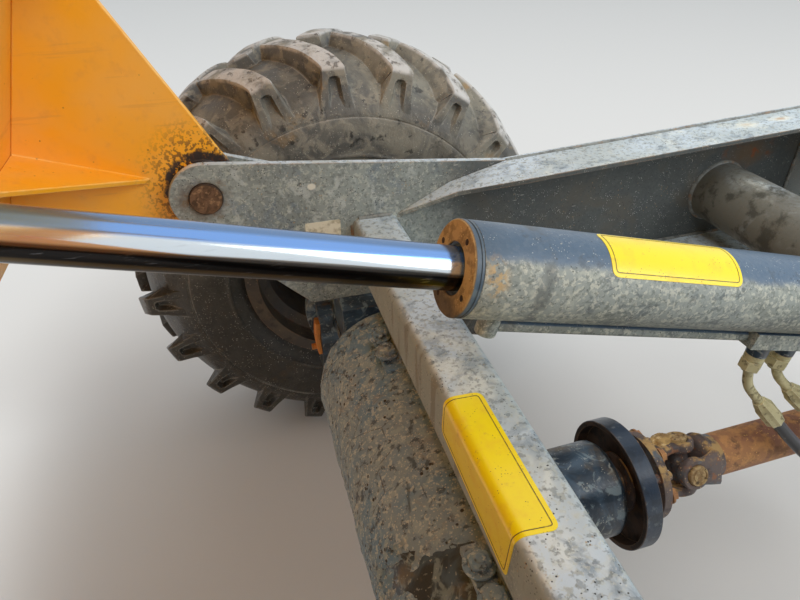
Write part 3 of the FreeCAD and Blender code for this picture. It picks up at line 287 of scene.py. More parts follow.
def skip_paint(name="skip_paint", lined=False):
    """Orange-yellow paint, dusty in places, pale in patches along its edges, worn to dark steel round the pivot, and
    where loads slide when it is lined."""
    f = Finish(name, srgb(250, 172, 20), 0.42, coat=0.15)
    f.paint(f.patches(2.6, 0.42, 0.62), srgb(240, 178, 78), 0.6, share=0.75)
    f.paint(f.patches(7.0, 0.48, 0.62, warp=0.6), srgb(252, 172, 12), 0.4, share=0.6)
    f.paint(f.patches(38.0, 0.5, 0.75, detail=5.0), srgb(220, 156, 72), 0.6, share=0.4)
    f.paint(f.patches(3.4, 0.60, 0.72, detail=5.0, warp=1.0), srgb(190, 132, 74), 0.75, share=0.35)
    f.paint(f.specks(90.0, 0.16, 0.56), srgb(92, 58, 34), 0.7)
    f.paint(f.patches(5.0, 0.62, 0.70, detail=3.0, stretch=(1.0, 1.0, 14.0)), srgb(214, 150, 66), 0.6, share=0.35)
    worn = f.both(f.edges(), f.patches(22.0, 0.42, 0.56))
    f.paint(worn, srgb(250, 204, 118), 0.4, share=0.85)
    if lined:
        load = f.box_inside()
        f.paint(load, srgb(132, 124, 112), 0.45, share=0.94)
        f.paint(f.both(load, f.patches(2.4, 0.40, 0.66, detail=5.0, stretch=(1.0, 1.0, 0.4), warp=0.5)),
                srgb(152, 118, 84), 0.7, share=0.7)
        f.paint(f.both(load, f.patches(16.0, 0.44, 0.72, detail=5.0, stretch=(1.0, 1.0, 0.10))),
                srgb(112, 106, 98), 0.4, share=0.6)
        f.paint(f.both(load, f.patches(34.0, 0.50, 0.74, detail=5.0)), srgb(140, 98, 66), 0.8, share=0.45)
        f.paint(f.both(load, f.specks(60.0, 0.16, 0.54, (1.0, 1.0, 0.3))), srgb(176, 170, 158), 0.35, share=0.5)
    chips = f.both(f.spot(PIVOT + (0.0, 0.0, 0.01), (0.135, 5.0, 0.150), 0.7), f.patches(150.0, 0.50, 0.56, detail=2.0))
    f.paint(chips, srgb(72, 46, 28), 0.75)
    bare = f.spot(PIVOT + (0.0, 0.0, 0.004), (0.076, 5.0, 0.080), 0.14, 0.22, 60.0)
    kept = f.patches(46.0, 0.60, 0.64, detail=5.0)
    f.paint(f.both(bare, f.maths("SUBTRACT", 1.0, kept)), srgb(52, 43, 39), 0.55, -0.0005)
    rust = f.both(bare, f.patches(120.0, 0.55, 0.66, detail=2.0))
    f.paint(rust, srgb(112, 70, 42), 0.85, share=0.7)
    f.raise_by(f.noise(160.0, 3.0), 0.0002)
    return f.done()


def shell_paint():
    return skip_paint("shell_paint", True)


def frame_paint(name="frame_paint", muddy=0.0):
    """Blue-grey paint, weathered to a speckled grey-green, with painted light making faces that look up pale, and
    painted shade on the upright faces inside the rails behind the axle.
    """
    f = Finish(name, srgb(126, 133, 129), 0.55)
    # Painted light: every face that looks up is made pale blue-grey
    f.paint(f.facing(UPWARD, 0.2, 0.95), srgb(190, 204, 214), 0.45)
    f.paint(f.patches(4.0, 0.40, 0.62, warp=0.8), srgb(154, 163, 158), 0.6, share=0.6)
    f.paint(f.both(f.facing(UPWARD, 0.2, 0.95), f.patches(7.0, 0.52, 0.66, warp=0.8)), srgb(222, 224, 212), 0.6, share=0.6)
    f.paint(f.patches(13.0, 0.52, 0.68, detail=5.0, warp=1.2), srgb(96, 112, 126), 0.45, share=0.6)
    f.paint(f.patches(34.0, 0.54, 0.66, detail=5.0, warp=0.8), srgb(188, 194, 190), 0.65, share=0.5)
    f.paint(f.patches(70.0, 0.56, 0.66, detail=5.0), srgb(84, 90, 94), 0.6, share=0.5)
    f.paint(f.patches(140.0, 0.54, 0.62, detail=2.0), srgb(186, 190, 178), 0.65, share=0.45)
    f.paint(f.patches(110.0, 0.55, 0.63, detail=2.0), srgb(80, 86, 84), 0.6, share=0.45)
    # Painted shade: the upright faces inside the rails behind the axle, under the flanges, are made dark grey
    inner = f.fade(f.maths("ABSOLUTE", f.along((0.0, 0.0, 0.0), ACROSS)), 0.4975, 0.4955)
    behind = f.fade(f.along(AXLE, AHEAD), -0.10, -0.22)
    upright = f.fade(f.maths("ABSOLUTE", f.vector("DOT_PRODUCT", f.normal, ACROSS, output="Value")), 0.5, 0.8)
    web_painted_shade = f.both(f.both(inner, behind), upright)
    f.paint(web_painted_shade, srgb(66, 71, 72), 0.5, share=0.88)
    f.paint(f.both(web_painted_shade, f.patches(6.0, 0.50, 0.66, detail=5.0, warp=1.0)), srgb(96, 92, 82), 0.7, share=0.6)
    mud = f.both(f.facing(AHEAD, 0.35, 0.85), f.patches(9.0, 0.20, 0.42, stretch=(1.0, 1.0, 0.5)))
    f.paint(mud, srgb(148, 158, 160), 0.85, share=0.9)
    f.paint(f.both(mud, f.patches(30.0, 0.52, 0.64, detail=5.0, stretch=(1.0, 1.0, 0.16))), srgb(108, 100, 84), 0.9, share=0.5)
    f.paint(f.specks(230.0, 0.26, 0.50), srgb(204, 206, 200), 0.6, share=0.6)
    f.paint(f.specks(140.0, 0.22, 0.54), srgb(166, 142, 104), 0.8, share=0.7)
    f.paint(f.specks(190.0, 0.24, 0.50), srgb(46, 50, 54), 0.6)
    f.paint(f.scratches(), srgb(214, 214, 204), 0.5, share=0.8)
    worn = f.both(f.edges(), f.patches(26.0, 0.40, 0.60))
    f.paint(worn, srgb(158, 132, 104), 0.75, share=0.75)
    rusted = f.spot(at(-0.905, -0.490, 0.335), (0.095, 0.02, 0.050), 0.8, 0.45, 22.0)
    f.paint(rusted, srgb(104, 84, 60), 0.85, share=0.75)
    f.paint(f.both(rusted, f.patches(34.0, 0.52, 0.62, detail=5.0)), srgb(136, 74, 40), 0.85, share=0.8)
    for x, z, tan in ((-0.830, 0.413, 0.35), (-0.918, 0.427, 0.90)):
        f.paint(f.spot(at(x, -0.450, z), (0.038, 0.024, 0.03), 0.8, 0.8, 60.0), srgb(222, 218, 198), 0.85, share=0.6)
        f.paint(f.spot(at(x, -0.450, z), (0.016, 0.010, 0.03), 0.7, 0.6, 70.0), srgb(178, 156, 132), 0.85, share=tan)
    rubbed = f.spot(PIVOT + (0.006, 0.0, -0.004), (0.062, 5.0, 0.056), 0.6, 0.5, 40.0)
    f.paint(rubbed, srgb(100, 90, 80), 0.6, share=0.8)
    f.paint(f.both(rubbed, f.patches(60.0, 0.50, 0.62, detail=5.0)), srgb(118, 92, 60), 0.8, share=0.7)
    f.paint(f.spot(at(0.124, -0.490, 0.379), (0.010, 0.006, 0.008), 0.4, 0.2, 90.0), srgb(206, 204, 190), 0.7)
    if muddy:
        f.paint(f.patches(6.0, 0.30, 0.52, detail=5.0, warp=0.8), srgb(92, 88, 74), 0.85, share=muddy)
        f.paint(f.patches(20.0, 0.50, 0.62, detail=5.0), srgb(62, 62, 54), 0.85, share=muddy)
    f.raise_by(f.noise(70.0, 4.0, 0.7), 0.0009)
    return f.done()


def mount_paint():
    return frame_paint("mount_paint", 0.85)


def ram_paint():
    """The ram's blue-grey paint: dark along the top, dusty and scuffed pale down its sides."""
    f = Finish("ram_paint", srgb(132, 138, 130), 0.55)
    f.paint(f.patches(10.0, 0.42, 0.60, detail=5.0, stretch=(0.4, 1.0, 1.0), warp=0.6), srgb(150, 158, 154), 0.6, share=0.7)
    f.paint(f.patches(48.0, 0.52, 0.64, detail=5.0, warp=0.8), srgb(176, 180, 168), 0.65, share=0.6)
    f.paint(f.patches(60.0, 0.55, 0.65, detail=5.0, stretch=(0.5, 1.0, 1.0), warp=0.8), srgb(88, 98, 100), 0.5, share=0.7)
    f.paint(f.patches(130.0, 0.53, 0.61, detail=2.0), srgb(206, 206, 190), 0.65, share=0.5)
    f.paint(f.patches(150.0, 0.55, 0.63, detail=2.0), srgb(84, 92, 86), 0.55, share=0.5)
    clean = f.maths("ADD", f.facing(RAM_UP, 0.25, 1.0), f.maths("MULTIPLY", f.noise(16.0, 6.0, 0.65), 0.5))
    f.paint(f.fade(clean, 0.62, 0.95), srgb(72, 96, 120), 0.32, share=0.92)
    f.paint(f.patches(36.0, 0.58, 0.66, detail=5.0), srgb(66, 76, 84), 0.4, share=0.5)
    f.paint(f.specks(250.0, 0.26, 0.50), srgb(200, 204, 200), 0.6, share=0.5)
    f.paint(f.specks(150.0, 0.24, 0.54), srgb(58, 62, 64), 0.6, share=0.8)
    f.paint(f.scratches(), srgb(206, 204, 186), 0.5, share=0.8)
    band = f.both(f.fade(f.along(on_ram(0.655), RAM_LINE), -0.012, 0.0), f.fade(f.along(on_ram(0.667), RAM_LINE), 0.010, 0.0))
    f.paint(f.both(band, f.patches(20.0, 0.36, 0.54)), srgb(86, 90, 88), 0.5, share=0.6)
    sandy = f.spot(on_ram(0.728, math.radians(70.0), 0.062), (0.022, 0.034, 0.036), 0.7, 0.55, 90.0)
    f.paint(f.both(sandy, f.patches(90.0, 0.42, 0.54, detail=2.0)), srgb(190, 164, 120), 0.85, share=0.85)
    f.raise_by(f.noise(110.0, 4.0, 0.7), 0.0006)
    return f.done()


def gland_steel():
    """The gland nut: a dark collar, its end face rusted brown, damp round the rod."""
    f = Finish("gland_steel", srgb(74, 90, 104), 0.4)
    f.paint(f.patches(30.0, 0.46, 0.62, detail=5.0), srgb(100, 114, 120), 0.55, share=0.7)
    face = f.fade(f.along(on_ram(0.7555), RAM_LINE), 0.0, 0.002)
    f.paint(face, srgb(178, 148, 98), 0.8)
    f.paint(f.both(face, f.patches(60.0, 0.46, 0.60, detail=5.0)), srgb(128, 104, 66), 0.8, share=0.8)
    f.paint(f.both(face, f.specks(260.0, 0.25, 0.46)), srgb(214, 184, 120), 0.85)
    f.paint(f.both(face, f.spot(on_ram(0.758), (0.05, 0.036, 0.036), 0.25, 0.12, 60.0)), srgb(70, 50, 38), 0.5, share=0.7)
    # Painted shade on the collar's lower side
    f.paint(f.fade(f.along(on_ram(0.735), RAM_UP), -0.020, -0.046), srgb(48, 44, 40), 0.7, share=0.75)
    f.raise_by(f.noise(140.0, 4.0, 0.7), 0.0006)
    return f.done()


def rim_paint():
    """Dark grey-brown wheel paint, dusty, rusty at its edges."""
    f = Finish("rim_paint", srgb(70, 64, 58), 0.5)
    f.paint(f.patches(8.0, 0.40, 0.62, warp=0.8), srgb(96, 84, 68), 0.7, share=0.8)
    f.paint(f.patches(30.0, 0.52, 0.64, detail=5.0), srgb(50, 45, 41), 0.5, share=0.7)
    f.paint(f.patches(16.0, 0.60, 0.70, detail=5.0), srgb(126, 78, 46), 0.85, share=0.7)
    f.paint(f.specks(120.0, 0.2, 0.5), srgb(148, 132, 106), 0.8)
    f.paint(f.both(f.edges(), f.patches(24.0, 0.4, 0.6)), srgb(140, 104, 74), 0.7, share=0.8)
    f.raise_by(f.noise(80.0, 4.0, 0.7), 0.0008)
    return f.done()


def cast_dark():
    """Blue-black enamel on castings, glossy, with pale scuffs and dried mud."""
    f = Finish("cast_dark", srgb(38, 50, 62), 0.3, coat=0.2)
    f.paint(f.patches(9.0, 0.44, 0.64, warp=1.5), srgb(76, 100, 120), 0.35, share=0.75)
    f.paint(f.patches(26.0, 0.55, 0.64, detail=5.0, warp=1.4), srgb(140, 156, 160), 0.55, share=0.6)
    f.paint(f.patches(60.0, 0.58, 0.66, detail=5.0, warp=1.0), srgb(186, 190, 180), 0.6, share=0.5)
    f.paint(f.patches(12.0, 0.54, 0.68, detail=5.0), srgb(110, 96, 74), 0.85, 0.0005, share=0.7)
    f.paint(f.specks(200.0, 0.24, 0.52), srgb(190, 188, 174), 0.8, share=0.7)
    f.paint(f.both(f.edges(), f.patches(40.0, 0.45, 0.6)), srgb(130, 104, 76), 0.7, share=0.6)
    f.raise_by(f.noise(60.0, 4.0, 0.7), 0.0012)
    return f.done()


def drum_blue():
    """The parking drum's dark blue enamel, its hollow rusted and full of mud."""
    f = Finish("drum_blue", srgb(50, 64, 82), 0.35, coat=0.1)
    f.paint(f.patches(14.0, 0.46, 0.62, detail=5.0, warp=1.0), srgb(38, 46, 56), 0.4, share=0.8)
    f.paint(f.patches(40.0, 0.56, 0.64, detail=5.0), srgb(112, 122, 128), 0.6, share=0.6)
    inside = f.fade(f.radial(SHAFT, SHAFT_LINE), 0.1160, 0.1145)
    f.paint(inside, srgb(74, 54, 40), 0.85)
    f.paint(f.both(inside, f.patches(30.0, 0.44, 0.58, detail=5.0)), srgb(40, 32, 28), 0.85, share=0.85)
    f.paint(f.both(f.edges(0.002), f.patches(30.0, 0.40, 0.56)), srgb(150, 118, 84), 0.7, share=0.8)
    f.raise_by(f.noise(80.0, 4.0, 0.7), 0.0008)
    return f.done()


def rusty_steel():
    """Bare steel, rusted orange-brown with darker scale."""
    f = Finish("rusty_steel", srgb(176, 128, 88), 0.8)
    f.paint(f.patches(7.0, 0.46, 0.60, detail=5.0, warp=0.8), srgb(146, 104, 88), 0.75, share=0.85)
    f.paint(f.patches(60.0, 0.46, 0.62, detail=5.0), srgb(206, 154, 98), 0.85, share=0.7)
    f.paint(f.patches(46.0, 0.54, 0.64, detail=5.0), srgb(124, 92, 66), 0.85, share=0.6)
    f.paint(f.patches(34.0, 0.60, 0.68, detail=5.0), srgb(84, 60, 50), 0.6, share=0.6)
    f.paint(f.specks(170.0, 0.24, 0.42), srgb(214, 168, 104), 0.9)
    f.raise_by(f.noise(140.0, 4.0, 0.75), 0.0010)
    return f.done()


def yoke_steel():
    """The joint's forgings: mauve-brown scale, grey-blue where the paint holds, clay on their upper sides."""
    f = Finish("yoke_steel", srgb(114, 102, 98), 0.7)
    f.paint(f.patches(16.0, 0.44, 0.60, detail=5.0, warp=1.0), srgb(82, 74, 74), 0.75, share=0.8)
    f.paint(f.patches(22.0, 0.54, 0.62, detail=5.0), srgb(104, 116, 124), 0.5, share=0.7)
    f.paint(f.patches(50.0, 0.56, 0.64, detail=5.0), srgb(160, 110, 76), 0.85, share=0.7)
    dried = f.both(f.facing(UPWARD, 0.45, 0.85), f.patches(26.0, 0.48, 0.58, detail=5.0))
    f.paint(dried, srgb(196, 162, 106), 0.9, 0.0012, share=0.85)
    f.paint(f.specks(150.0, 0.24, 0.46), srgb(196, 168, 128), 0.9)
    f.raise_by(f.noise(90.0, 4.0, 0.75), 0.0014)
    return f.done()


def cap_tan():
    """The cross's bearing caps: tan with dried grease and clay."""
    f = Finish("cap_tan", srgb(184, 158, 112), 0.6, metallic=0.1)
    f.paint(f.patches(60.0, 0.46, 0.58, detail=5.0), srgb(140, 112, 76), 0.75, share=0.8)
    f.paint(f.patches(110.0, 0.58, 0.66, detail=2.0), srgb(70, 56, 42), 0.8, share=0.8)
    f.raise_by(f.noise(160.0, 4.0, 0.7), 0.0006)
    return f.done()


def hole_dark():
    """Painted shade for a hole's mouth, on a dark disc where no hole is cut."""
    f = Finish("hole_dark", srgb(46, 36, 30), 0.9)
    f.paint(f.patches(300.0, 0.5, 0.6, detail=2.0), srgb(70, 52, 40), 0.9)
    return f.done()


def lever_paint():
    """Orange-tan paint on the brake's lever, muddy."""
    f = Finish("lever_paint", srgb(196, 124, 52), 0.6)
    f.paint(f.patches(30.0, 0.45, 0.60, detail=5.0), srgb(128, 92, 58), 0.85, share=0.85)
    f.paint(f.specks(120.0, 0.22, 0.5), srgb(80, 66, 52), 0.8)
    return f.done()


def clay():
    """Lumps of dry clay, tan and crumbly."""
    f = Finish("clay", srgb(196, 162, 104), 0.95)
    f.paint(f.patches(40.0, 0.44, 0.58, detail=5.0), srgb(148, 118, 78), 0.95, share=0.8)
    f.paint(f.patches(90.0, 0.56, 0.66, detail=2.0), srgb(226, 204, 156), 0.95, share=0.8)
    f.raise_by(f.noise(120.0, 4.0, 0.8), 0.0020)
    return f.done()


def pin_steel():
    """Turned steel pins, brown with light rust and worn pale at the rim."""
    f = Finish("pin_steel", srgb(116, 88, 64), 0.6, metallic=0.3)
    f.paint(f.patches(40.0, 0.42, 0.62, detail=5.0, warp=1.0), srgb(80, 58, 40), 0.75, share=0.9)
    f.paint(f.patches(110.0, 0.54, 0.66, detail=2.0), srgb(158, 124, 90), 0.6, share=0.8)
    f.paint(f.both(f.edges(0.003), f.patches(60.0, 0.35, 0.55)), srgb(166, 136, 106), 0.5, share=0.6)
    f.paint(f.fade(f.radial(PIVOT, ACROSS), 0.0272, 0.0290), srgb(44, 34, 28), 0.8, share=0.8)
    f.raise_by(f.noise(200.0, 4.0, 0.7), 0.0008)
    return f.done()


def rod_chrome():
    """Hard chrome on the rod, finely polished round, with painted reflections in bands by height: blue above, bright at
    its shoulder, dark below.
    """
    f = Finish("rod_chrome", srgb(222, 230, 234), 0.12, metallic=0.85)
    # Painted reflections: bands of colour by height across the rod, grey-blue along the top, blue above, bright
    # between, dark grey to near black below, with a brownish band under the middle
    height = f.maths("MULTIPLY", f.along(RAM_BASE, RAM_UP), 1.0 / ROD_RADIUS)
    f.paint(f.fade(height, 0.62, 0.74), srgb(124, 172, 240), 0.16, share=0.92)
    f.paint(f.fade(height, 0.90, 0.98), srgb(116, 142, 176), 0.22, share=0.9)
    f.paint(f.fade(height, 0.30, 0.16), srgb(92, 88, 86), 0.14, share=0.95)
    f.paint(f.fade(height, 0.14, 0.04), srgb(24, 23, 23), 0.18, share=0.97)
    f.paint(f.both(f.fade(height, -0.34, -0.44), f.fade(height, -0.66, -0.56)), srgb(104, 88, 56), 0.2, share=0.6)
    f.paint(f.patches(260.0, 0.60, 0.70, stretch=(0.15, 1.0, 1.0)), srgb(180, 184, 192), 0.2, share=0.15)
    f.raise_by(f.noise(9.0, 3.0, 0.5, stretch=(60.0, 1.0, 1.0)), 0.00001)
    return f.done()


def plated_fittings():
    """Yellow-passivated hose fittings, dull, with dirt in their corners."""
    f = Finish("plated_fittings", srgb(196, 188, 146), 0.5, metallic=0.15)
    f.paint(f.patches(30.0, 0.45, 0.62, detail=5.0), srgb(158, 150, 112), 0.6, share=0.75)
    f.paint(f.patches(90.0, 0.56, 0.66, detail=2.0), srgb(108, 98, 74), 0.8, share=0.7)
    f.paint(f.edges(0.0025), srgb(232, 226, 190), 0.4, share=0.75)
    f.raise_by(f.noise(240.0, 4.0), 0.0002)
    return f.done()


def hose_rubber():
    """Black hose rubber with a fine wrapped texture, a painted highlight along its upper side and pale dusty patches.
    """
    f = Finish("hose_rubber", srgb(40, 40, 44), 0.35, coat=0.2)
    # Painted highlight: the side that looks up is painted pale bluish
    f.paint(f.facing(UPWARD, 0.35, 0.95), srgb(166, 166, 178), 0.4, share=0.75)
    f.paint(f.patches(36.0, 0.58, 0.66), srgb(206, 204, 200), 0.5, share=0.35)
    f.paint(f.patches(22.0, 0.58, 0.68), srgb(122, 110, 92), 0.85, share=0.5)
    f.raise_by(f.noise(420.0, 3.0), 0.0002)
    return f.done()


def pad_rubber():
    """Moulded rubber, dull, dusted."""
    f = Finish("pad_rubber", srgb(40, 39, 38), 0.75)
    f.paint(f.patches(26.0, 0.48, 0.64), srgb(100, 88, 72), 0.9, share=0.7)
    f.raise_by(f.noise(120.0, 4.0), 0.0005)
    return f.done()


def tyre_rubber():
    """Tyre rubber: worn pale on the bars' faces, damp between them, dusted with dry mud on its side walls."""
    f = Finish("tyre_rubber", srgb(92, 91, 86), 0.5)
    f.paint(f.patches(7.0, 0.40, 0.60, detail=5.0, warp=1.0), srgb(140, 136, 122), 0.75, share=0.8)
    f.paint(f.patches(24.0, 0.50, 0.62, detail=5.0, warp=0.6), srgb(154, 148, 132), 0.85, 0.0006, share=0.6)
    f.paint(f.patches(10.0, 0.60, 0.70, detail=5.0), srgb(160, 130, 86), 0.9, share=0.7)
    f.paint(f.patches(36.0, 0.60, 0.68, detail=5.0), srgb(38, 37, 36), 0.25, share=0.8)
    across = f.maths("SUBTRACT", f.maths("ABSOLUTE", f.along((0.0, 0.0, 0.0), ACROSS)), WHEELS["left"][1])
    share = f.maths("POWER", f.maths("DIVIDE", f.maths("ABSOLUTE", across), TREAD_EDGE), 2.5)
    over = f.maths("ADD", f.radial(AXLE, ACROSS), f.maths("MULTIPLY", share, TREAD_DROP))
    over = f.maths("SUBTRACT", over, TYRE_RADIUS)
    top = f.fade(over, -0.010, -0.003)
    f.paint(f.both(top, f.patches(20.0, 0.34, 0.56, detail=5.0)), srgb(198, 196, 192), 0.7, share=0.85)
    f.paint(f.both(top, f.patches(60.0, 0.56, 0.64, detail=5.0)), srgb(96, 90, 82), 0.7, -0.0006, share=0.8)
    deep = f.fade(over, -0.022, -0.034)
    f.paint(f.both(deep, f.patches(6.0, 0.44, 0.62, detail=5.0)), srgb(56, 51, 43), 0.4, share=0.5)
    # Painted shade: the tyre darkens downwards from about a quarter metre above the axle's middle, with a noisy edge
    low_painted_shade = f.maths("ADD", f.along(AXLE, UPWARD), f.maths("MULTIPLY", f.noise(9.0, 5.0, 0.6), 0.16))
    f.paint(f.fade(low_painted_shade, 0.26, 0.08), srgb(34, 30, 23), 0.35, share=0.85)
    f.paint(f.specks(190.0, 0.24, 0.48), srgb(190, 184, 168), 0.7, share=0.7)
    f.paint(f.both(f.edges(0.006), f.patches(14.0, 0.35, 0.6)), srgb(166, 162, 152), 0.7, share=0.6)
    f.raise_by(f.noise(90.0, 4.0, 0.75), 0.0020)
    return f.done()


def mud_crust():
    """Dried mud over the axle's drum, cracked and gritty."""
    f = Finish("mud_crust", srgb(134, 150, 160), 0.9)
    f.paint(f.patches(8.0, 0.42, 0.60, detail=5.0, warp=1.0), srgb(102, 134, 160), 0.7, share=0.85)
    f.paint(f.patches(18.0, 0.54, 0.68, detail=5.0, warp=0.8), srgb(156, 146, 130), 0.95, share=0.5)
    f.paint(f.patches(40.0, 0.50, 0.62, detail=5.0), srgb(158, 170, 172), 0.95, 0.0006, share=0.7)
    f.paint(f.patches(64.0, 0.54, 0.64, detail=5.0), srgb(62, 72, 82), 0.7, -0.0006, share=0.8)
    f.paint(f.patches(120.0, 0.56, 0.66, detail=2.0), srgb(204, 206, 196), 0.95, share=0.55)
    f.paint(f.both(f.cracks(11.0, 0.016, stretch=(1.0, 1.7, 1.0)), f.patches(7.0, 0.50, 0.58)), srgb(62, 60, 58), 0.9,
            -0.0010, share=0.6)
    f.paint(f.specks(210.0, 0.30, 0.40), srgb(196, 194, 184), 0.8, share=0.7)
    f.paint(f.specks(90.0, 0.30, 0.52), srgb(58, 54, 50), 0.8, -0.0006)
    f.raise_by(f.noise(60.0, 4.0, 0.75), 0.0030)
    return f.done()


def weld_steel():
    """Painted weld beads, darker than the plate in their ripples."""
    f = Finish("weld_steel", srgb(126, 130, 126), 0.55)
    f.paint(f.patches(60.0, 0.45, 0.62), srgb(86, 86, 84), 0.65, share=0.7)
    f.paint(f.patches(24.0, 0.54, 0.64), srgb(142, 108, 76), 0.8, share=0.6)
    f.raise_by(f.noise(260.0, 4.0), 0.0004)
    return f.done()


def film_yellow():
    """A blank yellow film, lightly soiled."""
    f = Finish("film_yellow", srgb(255, 222, 10), 0.32, coat=0.3)
    f.paint(f.patches(24.0, 0.48, 0.70, detail=5.0), srgb(238, 200, 40), 0.5, share=0.6)
    f.paint(f.patches(60.0, 0.62, 0.70, detail=5.0), srgb(214, 180, 60), 0.6, share=0.5)
    f.paint(f.specks(240.0, 0.20, 0.50), srgb(160, 130, 50), 0.6)
    return f.done()


def film_line():
    """The line printed round inside the film's edge, rubbed in places."""
    f = Finish("film_line", srgb(112, 96, 40), 0.45)
    f.paint(f.patches(140.0, 0.52, 0.62, detail=2.0), srgb(190, 164, 50), 0.5, share=0.6)
    return f.done()


def tag_cream():
    """A cream tag, blank, grimy at its rim."""
    f = Finish("tag_cream", srgb(214, 208, 186), 0.5)
    f.paint(f.patches(60.0, 0.48, 0.66), srgb(150, 140, 112), 0.7, share=0.7)
    return f.done()


# The tyre, in metres from the wheel's middle
TYRE_RADIUS = 0.567
TREAD_EDGE = 0.176
TREAD_DROP = 0.036
LUG_COUNT = 20
LUG_PHASE = math.radians(88.3)

ROD_RADIUS = 0.0283
MAKERS = (skip_paint, shell_paint, frame_paint, mount_paint, ram_paint, gland_steel, rim_paint, cast_dark, drum_blue, rusty_steel,
          yoke_steel, cap_tan, hole_dark, lever_paint, clay, pin_steel, rod_chrome, plated_fittings, hose_rubber, pad_rubber, tyre_rubber,
          mud_crust, weld_steel, film_yellow, film_line, tag_cream)
FINISHES = {maker.__name__: maker() for maker in MAKERS}


def surface(points, wrap_rows=False, wrap_columns=True):
    """Corners and quads of a grid of points shaped (rows, columns, 3); a wrapped way closes on itself."""
    rows, columns = points.shape[:2]
    row, column = np.meshgrid(np.arange(rows if wrap_rows else rows - 1),
                              np.arange(columns if wrap_columns else columns - 1), indexing="ij")
    next_row, next_column = (row + 1) % rows, (column + 1) % columns
    quads = np.stack([row * columns + column, row * columns + next_column,
                      next_row * columns + next_column, next_row * columns + column], axis=-1)
    return points.reshape(-1, 3), quads.reshape(-1, 4)


def capped(points):
    """Rings of points with a row added at each end, gathered at the middle of the end ring."""
    ends = [np.repeat(ring.mean(axis=0, keepdims=True), points.shape[1], axis=0)[None] for ring in (points[0], points[-1])]
    return np.concatenate([ends[0], points, ends[1]])


def made_mesh(name, shells, sharp=35.0):
    """One mesh from closed grids: welded at poles, turned outwards, smooth below a sharp angle."""
    starts = np.cumsum([0] + [len(corners) for corners, quads in shells[:-1]])
    corners = np.concatenate([shell[0] for shell in shells])
    quads = np.concatenate([shell[1] + start for shell, start in zip(shells, starts)])
    mesh = bpy.data.meshes.new(name)
    mesh.from_pydata(corners.tolist(), [], quads.tolist())
    work = bmesh.new()
    work.from_mesh(mesh)
    bmesh.ops.remove_doubles(work, verts=work.verts, dist=2e-6)
    bmesh.ops.dissolve_degenerate(work, edges=work.edges, dist=1e-7)
    bmesh.ops.recalc_face_normals(work, faces=work.faces)
    work.to_mesh(mesh)
    work.free()
    mesh.shade_smooth()
    mesh.set_sharp_from_angle(angle=math.radians(sharp))
    return mesh


def add_piece(name, mesh, body, finish, stands_for=()):
    """Put a mesh in the scene as one piece on a body, with its finish and the nodes it stands for."""
    mesh.materials.clear()
    mesh.materials.append(FINISHES[finish])
    piece = bpy.data.objects.new(name, mesh)
    bpy.context.scene.collection.objects.link(piece)
    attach(piece, body)
    if stands_for:
        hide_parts(*stands_for)
    return piece


def turned(profile, centre, axis, steps=48, closed=False, start=0.0):
    """A profile of (radius, distance along the axis) carried round an axis through a centre."""
    axis = unit(axis)
    spare = UPWARD if abs(axis[2]) < 0.9 else AHEAD
    side = unit(np.cross(spare, axis))
    up = np.cross(axis, side)
    angles = start + np.arange(steps) * FULL_TURN / steps
    ring = np.cos(angles)[:, None] * side + np.sin(angles)[:, None] * up
    profile = np.array(profile, float)
    points = centre + profile[:, 1, None, None] * axis + profile[:, 0, None, None] * ring
    return surface(points, wrap_rows=closed)


def eased(corners, reach, steps=4):
    """A run of points whose inner corners are each replaced by a quadratic curve that starts and ends
    reach away from the corner, or at 0.45 of a shorter side."""
    corners = np.array(corners, float)
    back, on = corners[:-2] - corners[1:-1], corners[2:] - corners[1:-1]
    lengths = np.stack([np.linalg.norm(back, axis=1), np.linalg.norm(on, axis=1)])
    shares = np.minimum(reach / lengths, 0.45)
    enter, leave = corners[1:-1] + back * shares[0][:, None], corners[1:-1] + on * shares[1][:, None]
    t = np.linspace(0.0, 1.0, steps)[None, :, None]
    curve = enter[:, None] * (1 - t) ** 2 + corners[1:-1, None] * 2 * t * (1 - t) + leave[:, None] * t ** 2
    return np.concatenate([corners[:1], curve.reshape(-1, corners.shape[1]), corners[-1:]])


def swept(path, radius, reference, columns=16):
    """Rings of a radius, one or one a point, square to a path, closed at both ends."""
    path = np.array(path, float)
    run = np.gradient(path, axis=0)
    run /= np.linalg.norm(run, axis=1, keepdims=True)
    side = np.cross(run, reference)
    side /= np.linalg.norm(side, axis=1, keepdims=True)
    up = np.cross(side, run)
    angles = np.arange(columns) * FULL_TURN / columns
    ring = np.cos(angles)[None, :, None] * side[:, None] + np.sin(angles)[None, :, None] * up[:, None]
    radius = np.broadcast_to(np.asarray(radius, float), (len(path),))
    return surface(capped(path[:, None] + ring * radius[:, None, None]))


def hexagon(centre, axis, across, height, chamfer=0.15):
    """A bolt head or nut of a width across its flats, chamfered at its outer end."""
    radius = across / math.sqrt(3.0)
    rise = height * (1.0 - chamfer)
    profile = [(0.0, 0.0), (radius, 0.0), (radius, rise), (radius * 0.86, height), (0.0, height)]
    return turned(profile, np.array(centre, float), axis, steps=6)


def bolt(centre, axis, across, height):
    """A washer, a hexagon head on it and a stub of thread."""
    centre, line = np.array(centre, float), unit(axis)
    thick = height * 0.2
    washer = turned([(0.0, -thick), (across * 0.78, -thick), (across * 0.78, thick), (0.0, thick)], centre, axis, 24)
    stub = turned([(0.0, 0.0), (across * 0.30, 0.0), (across * 0.30, height * 1.3), (across * 0.24, height * 1.45),
                   (0.0, height * 1.45)], centre, axis, 16)
    return [washer, hexagon(centre + line * thick, axis, across, height), stub]


